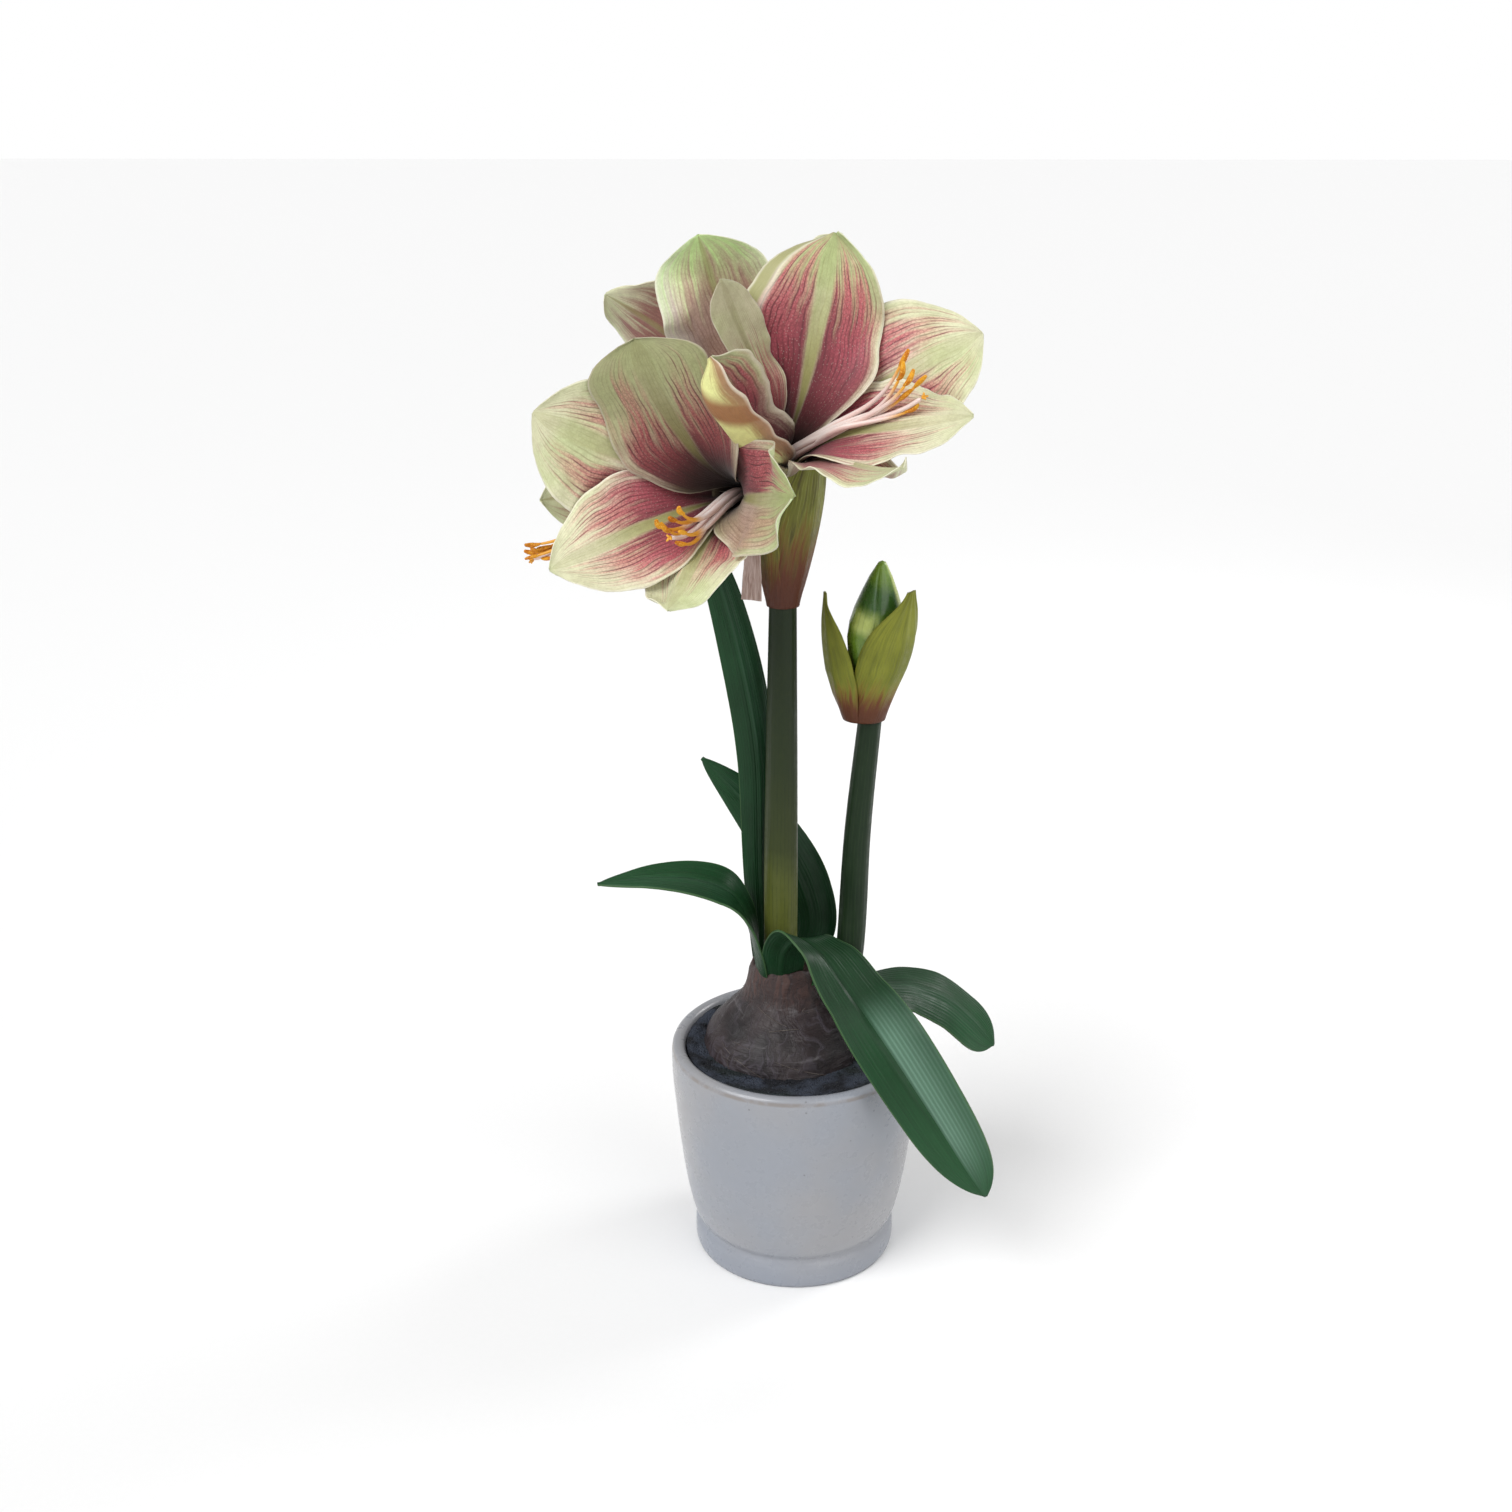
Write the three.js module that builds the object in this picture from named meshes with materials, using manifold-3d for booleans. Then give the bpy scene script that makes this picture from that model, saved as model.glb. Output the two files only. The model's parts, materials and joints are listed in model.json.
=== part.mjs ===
// A potted amaryllis: one bulb in a glazed pot, five leaves, a stem with four open blooms and a stem in bud.
// Millimetres, +Z up. The origin is the middle of the pot's underside.
import * as THREE from 'three';
import { mergeVertices } from 'three/addons/utils/BufferGeometryUtils.js';
import Module from 'manifold-3d';

const wasm = await Module();
wasm.setup();

// ---- Driving dimensions ----
const gap = 0.3;
const petalThickness = 0.9;
const leafThickness = 2.0;
const valveThickness = 1.1;
const potSides = 34;
const soilSides = 28;
const bulbSides = 24;
const stemSides = 12;
const petalSteps = { along: 7, across: 4 };
const leafSteps = { along: 12, across: 4 };
const valveSteps = { along: 7, across: 6 };
const stripSteps = { along: 5, across: 3 };

const pot = {
  outside: [[0, 0], [54.2, 0], [55.2, 1.2], [55.3, 12], [53.9, 17], [55.8, 21.5], [58.6, 32], [62.6, 58],
    [65.8, 88], [67.5, 112], [64.8, 123]],
  inside: [[61.4, 122.6], [59.7, 118], [56.2, 78], [52.4, 45], [47.5, 20], [41, 9], [0, 8]],
};
const soil = {
  outline: [[0, 8 + gap], [40.4, 9.4], [46.7, 20], [51.6, 45], [55.5, 78], [58.9, 115.6],
    [57, 118], [44, 119.2], [0, 119.6]],
};
const bulb = {
  centre: [-6, 5],
  outline: [[0, 52], [15, 54], [31, 69], [41, 86], [44.6, 104], [44.4, 117], [41, 128], [35.5, 135],
    [29.5, 141], [24.4, 147], [21.2, 153.5], [19.8, 161], [18.6, 166.6], [16.6, 168], [14.6, 166.4],
    [0, 164.5]],
};
const stems = {
  flower: {
    route: [[-8.4, 4, 146], [-8.5, 4, 250], [-8.2, 4, 373]], radii: [9.0, 8.8, 8.0, 7.2], steps: 5,
  },
  bud: {
    route: [[22, 19, 96], [25, 18, 140], [29, 16, 168], [32, 14, 240], [37.3, 12, 306]],
    radii: [7.4, 7.6, 7.4, 6.8, 6.2], steps: 7,
  },
};
const stemTop = stems.flower.route.at(-1)[2];

// A leaf: its middle line, the directions its blade spreads in, its full width, the arc of its section from
// foot to tip, and its width profile.
const leaves = {
  tall: {
    route: [[-16.4, 14, 150], [-18, 15.5, 175], [-19.4, 14.5, 212], [-20.8, 13.5, 281], [-26.4, 13, 319],
      [-37.6, 13, 366], [-50, 14, 402], [-56, 14, 427]],
    spread: [[0.85, 0.6, 0], [1, 0.4, 0], [1, 0.3, 0], [1, 0.3, 0.3]],
    width: 22, cup: [50, 30, 15], base: 0.5, peak: 0.5, blunt: 2.3,
  },
  back: {
    route: [[-1.5, 16.2, 150], [4, 20, 164], [11, 23.6, 180], [6, 26, 199], [-9, 27.5, 227], [-30, 28, 253],
      [-51, 28, 275]],
    spread: [[0.8, -0.5, 0], [1, 0, 0], [1, 0, 0.7], [0.7, 0, 1]],
    width: 25, cup: [45, 20, 10], base: 0.45, peak: 0.45, blunt: 1.8,
  },
  left: {
    route: [[-18.8, -3.4, 150], [-20.4, -4.6, 170], [-26, -5.4, 197], [-36, -5.4, 212], [-52, -5, 218.5],
      [-77, -5, 219.5], [-105, -6, 216]],
    spread: [[0.5, -1, 0.1], [0.1, -1, -0.3], [0.1, -1, -0.5], [0, -1, -0.35], [0, -1, -0.3]],
    width: 27, cup: [40, 15, 10], base: 0.4, peak: 0.5, blunt: 1.6,
  },
  front: {
    route: [[-5.2, -8.8, 150], [-5.4, -11, 167], [-3.4, -17, 187], [3.4, -25, 197], [15, -36, 192],
      [29, -47, 176], [46, -57.5, 155], [67, -68, 125], [100.5, -68, 68]],
    spread: [[1, 0.1, 0], [1, 0.2, -0.1], [1, 0.3, -0.35], [0.95, 0.35, -0.1], [0.9, 0.1, 0.3],
      [0.9, -0.1, 0.42], [0.9, -0.2, 0.4], [0.9, -0.2, 0.4]],
    width: 38, cup: [45, 20, 3, 6, 8, 6], base: 0.38, peak: 0.62, blunt: 2.6,
  },
  right: {
    route: [[4.2, 0.8, 150], [7, 0.4, 161], [16, -2, 166], [29, -4.5, 160], [46, 2, 154], [64, 10, 149],
      [82, 14, 140], [97, 16, 126], [110, 18, 110]],
    spread: [[-0.1, -1, 0], [-0.1, -1, 0], [0.1, -1, 0], [0.3, -1, -0.3], [0.3, -1, -0.6], [0.4, -1, -0.5],
      [0.8, -1, 0]],
    width: 31, cup: [45, 15, 10], base: 0.4, peak: 0.66, blunt: 2.9,
  },
};

// The closed bud: its axis, and the radius from foot to tip.
const bud = {
  foot: [37.3, 12, 306.4], tip: [41.4, 9, 388], steps: 10,
  radii: [5.2, 7, 9.2, 12, 14.1, 15.1, 14.5, 12.4, 9.4, 6, 1.6],
};

// A valve or bract hugs a round core: the core's centre line, its radius, the azimuth of the blade's middle and
// the half angle it spans, all from foot to tip.
const valves = {
  spathe_valve_right: {
    core: [[-8.2, 4, 366], [-5.2, 2, 446]], radius: [8.3, 11.4, 14.4, 17, 19, 20],
    middle: [-6, -9, -13, -17, -20], half: [80, 80, 76, 66, 44, 8],
  },
  spathe_valve_left: {
    core: [[-8.2, 4, 366], [-9.2, 2, 422]], radius: [8.3, 10.8, 13, 15, 16.6],
    middle: [184, 200, 212, 222, 228], half: [80, 70, 60, 46, 8],
  },
  bud_bract_right: {
    core: [[37.3, 12, 304], [44.3, 8, 374.5]], radius: [7.3, 10.2, 14.6, 17.4, 16.8, 14.2],
    middle: [-43, -47, -54, -53, -52, -34], half: [83, 83, 82, 73, 52, 8],
  },
  bud_bract_left: {
    core: [[33, 11.5, 304], [28.3, 11.3, 317.4], [25.5, 11.2, 330.8], [24.2, 11, 344.2], [22.8, 10.8, 357.6],
      [22, 10.5, 371]],
    radius: [9.6, 10, 11.3, 11.9, 11.1, 8.8],
    middle: [153, 177, 185, 186, 191, 183], half: [101, 107, 100, 86, 61, 7],
  },
};
const witheredBract = {
  route: [[-20.9, -9.5, 411], [-22.6, -10.6, 401], [-23, -10.2, 388], [-23.6, -9, 372]],
  spread: [[0.7, -0.7, 0], [0.9, -0.5, 0], [1, -0.3, 0], [1, -0.2, 0]],
  width: 10.5, cup: [12, 14, 16], footWidth: 0.7,
};

// A petal: azimuth round the bloom's axis, length, width, opening angle and how the blade curls and waves.
// Petals are listed in turn round the axis and belong to the inner and the outer whorl by turns.
const petalForm = { length: 105, width: 54, open: 45, curl: 8, bend: 0, twist: 0, cup: 22, tipCup: 5,
  ruffle: 2, waves: 2.5, phase: 0, widest: 0.58, blunt: 2.3 };
const throat = { innerRadius: 3.3, outerRadius: 5.6, lean: 12 };
const pedicelForm = { radii: [2.6, 2.6, 2.8, 3, 3.1, 3.3, 4.6, 5.6, 5.8], sides: 7, steps: 8 };
const stamenForm = {
  count: 6, fan: 5, styleReach: 1.08, antherLength: 7.2,
  foot: { radii: [1.8, 2.5, 2.4], sides: 6, steps: 2 },
  filament: { radii: [0.8, 0.85, 0.8], sides: 3, steps: 3 },
  style: { radii: [0.7, 0.8, 1.4], sides: 3, steps: 3 },
  anther: { radii: [0.5, 1.6, 0.5], sides: 4, steps: 2 },
};
const blooms = {
  bloom_right: {
    base: [-10.8, -4, 434], axis: [0.23, -0.73, 0.65], root: [-6.6, 0.1], via: [-8, 1, 404],
    stamens: { azimuth: -89, open: 25, length: 101, sag: 7 },
    petals: [
      { azimuth: -17, length: 121, width: 62, open: 52, curl: 14, bend: 2, cup: 18, tipCup: 6, blunt: 2.6 },
      { azimuth: -77, length: 124, width: 68, open: 54, curl: 18, bend: -1, cup: 14, blunt: 3.2 },
      { azimuth: -117, length: 117, width: 48, open: 49, curl: 6, bend: 6, cup: 14, phase: 0.3 },
      { azimuth: 204, length: 106, width: 42, open: 43, curl: -14, bend: 4, cup: 26, phase: 0.6 },
      { azimuth: 94, length: 108, width: 56, open: 48, curl: -27, bend: -10, twist: 34, cup: 50, tipCup: 40 },
      { azimuth: 36, length: 106, width: 54, open: 44, curl: -5, bend: -6, cup: 22, phase: 0.2 },
    ],
  },
  bloom_left: {
    base: [-25.7, 4, 423], axis: [-0.39, -0.91, 0.16], root: [-12.4, 2.5], via: [-14, 8, 404],
    stamens: { azimuth: 171, open: 14, length: 76, sag: 3 },
    petals: [
      { azimuth: 23, length: 116, width: 54, open: 48, curl: 34, bend: -2, cup: 12, tipCup: 0, blunt: 5,
        phase: 0.4 },
      { azimuth: 67, length: 120, width: 70, open: 54, curl: 16, bend: -2, cup: 12, blunt: 3.2 },
      { azimuth: 123, length: 115, width: 56, open: 51, curl: 14, bend: 0, cup: 12, phase: 0.5 },
      { azimuth: 179, length: 97, width: 54, open: 39, curl: -5, bend: 4, cup: 26, ruffle: 3 },
      { azimuth: -95, length: 95, width: 50, open: 47, curl: 5, bend: 13, cup: 24, phase: 0.1 },
      { azimuth: -40, length: 46, width: 30, open: 30, curl: 0, cup: 30, ruffle: 0.5 },
    ],
  },
  bloom_back_right: {
    base: [-18, 32, 443], axis: [-0.3, 0.53, 0.8], root: [-4.6, 6.6], via: [-7, 21, 404],
    stamens: { azimuth: 180, open: 10, length: 84, sag: 2 },
    petals: [
      { azimuth: -85, length: 109, width: 62, open: 48, curl: 11, bend: 1, cup: 16, blunt: 3.4 },
      { azimuth: -32, length: 108, width: 60, open: 49, curl: 13, bend: 2, cup: 18, blunt: 2.6 },
      { azimuth: 20, length: 86, width: 48, open: 24, curl: 0 },
      { azimuth: 58, length: 116, width: 62, open: 46, curl: 11, bend: -5, cup: 18 },
      { azimuth: 125, length: 104, width: 52, open: 40, curl: 16 },
      { azimuth: -148, length: 104, width: 56, open: 40, curl: 12 },
    ],
  },
  bloom_back_left: {
    base: [-48, 22, 424], axis: [-0.8, 0.55, -0.15], root: [-10.4, 7.7], via: [-18, 20, 403],
    stamens: { azimuth: -119, open: 30, length: 95, sag: 1 },
    petals: [
      { azimuth: -88, length: 84, width: 46, open: 46, curl: 4 },
      { azimuth: -28, length: 80, width: 52, open: 36, curl: 6 },
      { azimuth: 32, length: 88, width: 48, open: 42, curl: 12 },
      { azimuth: 92, length: 92, width: 54, open: 46, curl: 20 },
      { azimuth: 152, length: 90, width: 48, open: 44, curl: 14 },
      { azimuth: -148, length: 84, width: 52, open: 44, curl: 4 },
    ],
  },
};

// ---- Small maths ----
const vec = (p) => new THREE.Vector3(...p);
const clamp01 = (x) => Math.min(1, Math.max(0, x));
const smooth = (x) => clamp01(x) ** 2 * (3 - 2 * clamp01(x));
const rad = THREE.MathUtils.degToRad;

// Value at s (0 to 1) in a list of evenly spaced numbers or vectors
function sample(list, s) {
  const k = Math.min(s * (list.length - 1), list.length - 1.0001);
  const i = Math.floor(k);
  const f = k - i;
  return typeof list[0] === 'number' ? list[i] * (1 - f) + list[i + 1] * f
    : list[i].clone().lerp(list[i + 1], f);
}

// ---- Solids from grids of points ----
function geometryFrom(points, triangles) {
  const geometry = new THREE.BufferGeometry();
  const numbers = points.flatMap((p) => [p.x, p.y, p.z]);
  geometry.setAttribute('position', new THREE.Float32BufferAttribute(numbers, 3));
  geometry.setIndex(triangles.flat());
  return geometry;
}

// Blade: the grid is thickened to both sides of itself; both faces are split along the same diagonals.
function blade(grid, thickness) {
  const rows = grid.length;
  const cols = grid[0].length;
  const at = (i, j) => grid[Math.min(rows - 1, Math.max(0, i))][Math.min(cols - 1, Math.max(0, j))];
  const points = [];
  for (const side of [0.5, -0.5]) {
    for (let i = 0; i < rows; i += 1) {
      for (let j = 0; j < cols; j += 1) {
        const along = at(i + 1, j).clone().sub(at(i - 1, j));
        const across = at(i, j + 1).clone().sub(at(i, j - 1));
        const normal = along.cross(across).normalize();
        points.push(grid[i][j].clone().addScaledVector(normal, side * thickness));
      }
    }
  }
  const front = (i, j) => i * cols + j;
  const back = (i, j) => rows * cols + i * cols + j;
  const triangles = [];
  for (let i = 0; i + 1 < rows; i += 1) {
    for (let j = 0; j + 1 < cols; j += 1) {
      triangles.push([front(i, j), front(i + 1, j), front(i + 1, j + 1)]);
      triangles.push([front(i, j), front(i + 1, j + 1), front(i, j + 1)]);
      triangles.push([back(i, j), back(i + 1, j + 1), back(i + 1, j)]);
      triangles.push([back(i, j), back(i, j + 1), back(i + 1, j + 1)]);
    }
  }
  const rim = [];
  for (let j = 0; j + 1 < cols; j += 1) rim.push([0, j]);
  for (let i = 0; i + 1 < rows; i += 1) rim.push([i, cols - 1]);
  for (let j = cols - 1; j > 0; j -= 1) rim.push([rows - 1, j]);
  for (let i = rows - 1; i > 0; i -= 1) rim.push([i, 0]);
  rim.forEach(([i, j], k) => {
    const [m, n] = rim[(k + 1) % rim.length];
    triangles.push([front(i, j), front(m, n), back(m, n)], [front(i, j), back(m, n), back(i, j)]);
  });
  return geometryFrom(points, triangles);
}

// Round stalk along a smooth curve, its radius running through the given list
function stalk(route, { radii, sides, steps }) {
  const curve = new THREE.CatmullRomCurve3(route.map((p) => (p.isVector3 ? p : vec(p))));
  const points = [];
  const triangles = [];
  const hint = new THREE.Vector3(0.83, 0.31, 0.17);
  for (let i = 0; i <= steps; i += 1) {
    const s = i / steps;
    const tangent = curve.getTangentAt(s);
    const u = hint.clone().addScaledVector(tangent, -hint.dot(tangent)).normalize();
    const w = tangent.clone().cross(u);
    const centre = curve.getPointAt(s);
    const radius = sample(radii, s);
    for (let j = 0; j < sides; j += 1) {
      const angle = (2 * Math.PI * j) / sides;
      points.push(centre.clone().addScaledVector(u, radius * Math.cos(angle))
        .addScaledVector(w, radius * Math.sin(angle)));
    }
  }
  for (let i = 0; i < steps; i += 1) {
    for (let j = 0; j < sides; j += 1) {
      const a = i * sides + j;
      const b = i * sides + ((j + 1) % sides);
      triangles.push([a, b, b + sides], [a, b + sides, a + sides]);
    }
  }
  const last = steps * sides;
  for (let j = 1; j + 1 < sides; j += 1) {
    triangles.push([0, j + 1, j], [last, last + j, last + j + 1]);
  }
  return geometryFrom(points, triangles);
}

function lathe(outline, sides, centre = [0, 0]) {
  const profile = outline.map(([r, z]) => new THREE.Vector2(r, z));
  const body = new THREE.LatheGeometry(profile, sides);
  body.rotateX(Math.PI / 2);
  body.translate(centre[0], centre[1], 0);
  body.deleteAttribute('normal');
  body.deleteAttribute('uv');
  return mergeVertices(body, 1e-4);
}

// ---- Booleans ----
function solid(geometry) {
  const vertProperties = new Float32Array(geometry.attributes.position.array);
  const triVerts = new Uint32Array(geometry.index.array);
  return new wasm.Manifold(new wasm.Mesh({ numProp: 3, vertProperties, triVerts }));
}

// The largest body of a solid: loose scraps go and sealed hollows are filled
function mainBody(joined) {
  return joined.decompose().reduce((best, body) => (body.volume() > best.volume() ? body : best));
}

function geometryOf(joined) {
  const mesh = joined.getMesh();
  const geometry = new THREE.BufferGeometry();
  geometry.setAttribute('position', new THREE.BufferAttribute(mesh.vertProperties, 3));
  geometry.setIndex(new THREE.BufferAttribute(mesh.triVerts, 1));
  return geometry;
}

const fuse = (geometries) => geometryOf(mainBody(geometries.map(solid).reduce((sum, next) => sum.add(next))));

const cut = (geometry, tools) => geometryOf(mainBody(
  tools.map(solid).reduce((left, tool) => left.subtract(tool), solid(geometry)),
));

// ---- Leaves and bracts ----
function catmullPoints(route, steps) {
  const curve = new THREE.CatmullRomCurve3(route.map(vec));
  return Array.from({ length: steps + 1 }, (_, i) => {
    const s = i / steps;
    return [curve.getPointAt(s), curve.getTangentAt(s)];
  });
}

function leafWidth(s, { base, peak, blunt }) {
  if (s < peak) return base + (1 - base) * Math.sin((Math.PI / 2) * (s / peak));
  return Math.max(0.05, 1 - ((s - peak) / (1 - peak)) ** blunt) ** 0.75;
}

// Ribbon: each cross-section is an arc of the given half angle, spread square to the route
function ribbonGrid({ route, spread, width, cup }, widthAt, steps) {
  const hints = spread.map(vec);
  return catmullPoints(route, steps.along).map(([centre, tangent], i) => {
    const s = i / steps.along;
    const hint = sample(hints, s);
    const side = hint.clone().addScaledVector(tangent, -hint.dot(tangent)).normalize();
    const up = tangent.clone().cross(side);
    const half = (width / 2) * widthAt(s);
    const arc = rad(sample(cup, s));
    return Array.from({ length: steps.across + 1 }, (_, j) => {
      const v = -1 + (2 * j) / steps.across;
      return centre.clone().addScaledVector(side, (half / arc) * Math.sin(v * arc))
        .addScaledVector(up, (half / arc) * (1 - Math.cos(v * arc)));
    });
  });
}

const leafGrid = (leaf) => ribbonGrid(leaf, (s) => leafWidth(s, leaf), leafSteps);

const leafBlade = (leaf) => blade(leafGrid(leaf), leafThickness);

// The slot a leaf stands in: the same blade, wider, thicker and deeper by the clearance
function leafSlot(leaf) {
  const grid = leafGrid(leaf);
  for (const row of grid) {
    row[0].lerp(row[1], -gap / row[0].distanceTo(row[1]));
    row.at(-1).lerp(row.at(-2), -gap / row.at(-1).distanceTo(row.at(-2)));
  }
  for (const point of grid[0]) point.z -= gap;
  return blade(grid, leafThickness + 2 * gap);
}

// ---- Blooms ----
function bloomFrame({ base, axis }) {
  const a = vec(axis).normalize();
  const up = new THREE.Vector3(0, 0, 1).addScaledVector(a, -a.z).normalize();
  return { base: vec(base), axis: a, up, side: a.clone().cross(up) };
}

function aroundAxis(frame, azimuth) {
  const angle = rad(azimuth);
  return frame.up.clone().multiplyScalar(Math.cos(angle)).addScaledVector(frame.side, Math.sin(angle));
}

// A direction turned by an angle towards another one square to it
const turned = (from, to, angle) => from.clone().multiplyScalar(Math.cos(angle))
  .addScaledVector(to, Math.sin(angle));

function petalWidth(s, { widest, blunt }) {
  if (s < widest) return 0.1 + 0.9 * Math.sin((Math.PI / 2) * (s / widest)) ** 2.3;
  return Math.max(0.03, 1 - ((s - widest) / (1 - widest)) ** blunt) ** 0.85;
}

// The cross-section's half angle: round the bloom's axis in the throat, a shallow trough in the blade
function petalArc(s, half, reach, { cup, tipCup }) {
  const free = smooth((s - 0.25) / 0.5);
  const outer = smooth((s - 0.45) / 0.5);
  return (half / reach) * (1 - free) + rad(cup * (1 - outer) + tipCup * outer + 0.5) * free;
}

function petalGrid(frame, petal, radius) {
  const form = { ...petalForm, ...petal };
  const outward = aroundAxis(frame, form.azimuth);
  const sideways = aroundAxis(frame, form.azimuth + 90);
  const count = 200;
  const rows = Array.from({ length: petalSteps.along + 1 },
    (_, i) => Math.round(count * (1 - (1 - i / petalSteps.along) ** 1.2)));
  const centre = frame.base.clone().addScaledVector(outward, radius);
  const grid = [];
  for (let k = 0; k <= count; k += 1) {
    const s = k / count;
    const lean = rad(throat.lean + (form.open - throat.lean) * smooth((s - 0.1) / 0.54)
      + form.curl * clamp01((s - 0.6) / 0.4) ** 2);
    const bend = rad(form.bend) * s ** 1.3;
    const twist = rad(form.twist) * smooth((s - 0.1) / 0.9);
    const ahead = turned(frame.axis, outward, lean);
    const inner = turned(outward.clone().negate(), frame.axis, lean);
    const lateral = turned(turned(sideways, ahead.clone().negate(), bend), inner, twist);
    const face = turned(inner, turned(sideways, ahead.clone().negate(), bend).negate(), twist);
    if (rows.includes(k)) {
      const half = (form.width / 2) * petalWidth(s, form);
      const reach = centre.clone().sub(frame.base).projectOnPlane(frame.axis).length();
      const arc = petalArc(s, half, reach, form);
      const wave = form.ruffle * smooth((s - 0.25) / 0.35) * (1 - 0.6 * smooth((s - 0.9) / 0.1));
      grid.push(Array.from({ length: petalSteps.across + 1 }, (_, j) => {
        const v = -1 + (2 * j) / petalSteps.across;
        const turn = 2 * Math.PI * (form.waves * s + form.phase) + (v > 0 ? 1.9 : 0);
        const ripple = wave * v * v * Math.sin(turn);
        return centre.clone().addScaledVector(lateral, (half / arc) * Math.sin(v * arc))
          .addScaledVector(face, (half / arc) * (1 - Math.cos(v * arc)) + ripple);
      }));
    }
    centre.addScaledVector(turned(ahead, sideways, bend), form.length / count);
  }
  return grid;
}

// Pedicel and seed capsule, from the top of the flower stem to the foot of the petals
function pedicel(frame, { root, via }) {
  const behind = (distance) => frame.base.clone().addScaledVector(frame.axis, -distance);
  const foot = new THREE.Vector3(root[0], root[1], stemTop + gap);
  const upright = foot.clone().add(new THREE.Vector3(0, 0, 8));
  return stalk([foot, upright, vec(via), behind(13), behind(6), behind(-2)], pedicelForm);
}

function bloom(spec) {
  const frame = bloomFrame(spec);
  const petals = spec.petals.map((petal, k) => {
    const radius = k % 2 === 0 ? throat.innerRadius : throat.outerRadius;
    return blade(petalGrid(frame, petal, radius), petalThickness);
  });
  return fuse([pedicel(frame, spec), ...petals]);
}

// Six filaments with anthers and the longer style, joined at one foot in the throat
function stamens(spec) {
  const frame = bloomFrame(spec);
  const { azimuth, open, length, sag } = spec.stamens;
  const lower = aroundAxis(frame, azimuth);
  const aside = aroundAxis(frame, azimuth + 90);
  const heading = turned(frame.axis, lower, rad(open));
  const foot = frame.base.clone().addScaledVector(frame.axis, 2 + gap);
  const parts = [stalk([foot, foot.clone().addScaledVector(frame.axis, 4.5)], stamenForm.foot)];
  for (let k = 0; k <= stamenForm.count; k += 1) {
    const style = k === stamenForm.count;
    const turn = (2 * Math.PI * k) / stamenForm.count;
    const reach = length * (style ? stamenForm.styleReach : 0.9 + 0.05 * ((k * 2) % 3));
    const around = (radius) => turned(lower, aside, turn).multiplyScalar(style ? 0 : radius);
    const start = foot.clone().addScaledVector(frame.axis, 3.4).add(around(1.7));
    const rise = foot.clone().addScaledVector(frame.axis, reach * 0.4).add(around(stamenForm.fan * 0.5));
    const dip = foot.clone().addScaledVector(heading, reach * 0.7).addScaledVector(frame.up, -sag)
      .add(around(stamenForm.fan * 0.7));
    const end = foot.clone().addScaledVector(heading, reach).add(around(stamenForm.fan));
    const route = new THREE.CubicBezierCurve3(start, rise, dip, end).getPoints(5);
    parts.push(stalk(route, style ? stamenForm.style : stamenForm.filament));
    if (!style) {
      const along = turned(aside, lower, turn).addScaledVector(heading, 0.5).normalize();
      const tip = (distance) => end.clone().addScaledVector(along, distance);
      const half = stamenForm.antherLength / 2;
      parts.push(stalk([tip(-half), tip(0), tip(half)], stamenForm.anther));
    }
  }
  return fuse(parts);
}

// ---- Spathe valves and bracts ----
function valveGrid({ core, radius, middle, half }, steps) {
  const centres = core.map(vec);
  return Array.from({ length: steps.along + 1 }, (_, i) => {
    const s = i / steps.along;
    const r = sample(radius, s);
    const span = rad(sample(half, s));
    return Array.from({ length: steps.across + 1 }, (_, j) => {
      const angle = rad(sample(middle, s)) + span * (-1 + (2 * j) / steps.across);
      return sample(centres, s).add(new THREE.Vector3(r * Math.cos(angle), r * Math.sin(angle), 0));
    });
  });
}

// ---- The plant ----
const amaryllis = new THREE.Group();

function place(name, geometry, color, roughness, metalness = 0) {
  const material = new THREE.MeshStandardMaterial({ color, roughness, metalness });
  const mesh = new THREE.Mesh(geometry, material);
  mesh.name = name;
  amaryllis.add(mesh);
}

const stem = ({ route, radii, steps }) => stalk(route, { radii, sides: stemSides, steps });

// The hole a stem stands in, and the hollow the bulb sits in, larger by the clearance
function stemHole({ route: [[x, y, z], ...rest], radii, steps }) {
  return stem({ route: [[x, y, z - gap], ...rest], radii: radii.map((radius) => radius + gap), steps });
}
const bulbHollow = bulb.outline.map(([r, z]) => [r === 0 ? 0 : r + 1.4 * gap, z - 1.4 * gap]);

place('pot', lathe([...pot.outside, ...pot.inside], potSides), 0xaeb9c4, 0.25);
place('soil', cut(lathe(soil.outline, soilSides), [
  lathe(bulbHollow, bulbSides, bulb.centre), stemHole(stems.bud)]), 0x2b2f36, 0.95);
place('bulb', cut(lathe(bulb.outline, bulbSides, bulb.centre), [
  stemHole(stems.flower), stemHole(stems.bud), ...Object.values(leaves).map(leafSlot)]), 0x6e4f45, 0.7);
place('flower_stem', stem(stems.flower), 0x4f6a34, 0.45);
place('bud_stem', stem(stems.bud), 0x5f7a3c, 0.45);
for (const [name, leaf] of Object.entries(leaves)) {
  place(`leaf_${name}`, leafBlade(leaf), 0x2f6b3d, 0.4);
}
for (const [name, spec] of Object.entries(blooms)) {
  place(name, bloom(spec), 0xc58a86, 0.5);
  place(name.replace('bloom', 'stamens'), stamens(spec), 0xe6c9c0, 0.5);
}
for (const [name, valve] of Object.entries(valves)) {
  place(name, blade(valveGrid(valve, valveSteps), valveThickness), 0x8d8a45, 0.55);
}
const witheredWidth = (s) => witheredBract.footWidth + (1 - witheredBract.footWidth) * s;
const witheredGrid = ribbonGrid(witheredBract, witheredWidth, stripSteps);
place('withered_bract', blade(witheredGrid, valveThickness), 0xcdb9b4, 0.8);
place('bud', stalk([bud.foot, bud.tip], { ...bud, sides: stemSides }), 0x6d9a3a, 0.35);

export default amaryllis;
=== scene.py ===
import json
import math
import random

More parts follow.
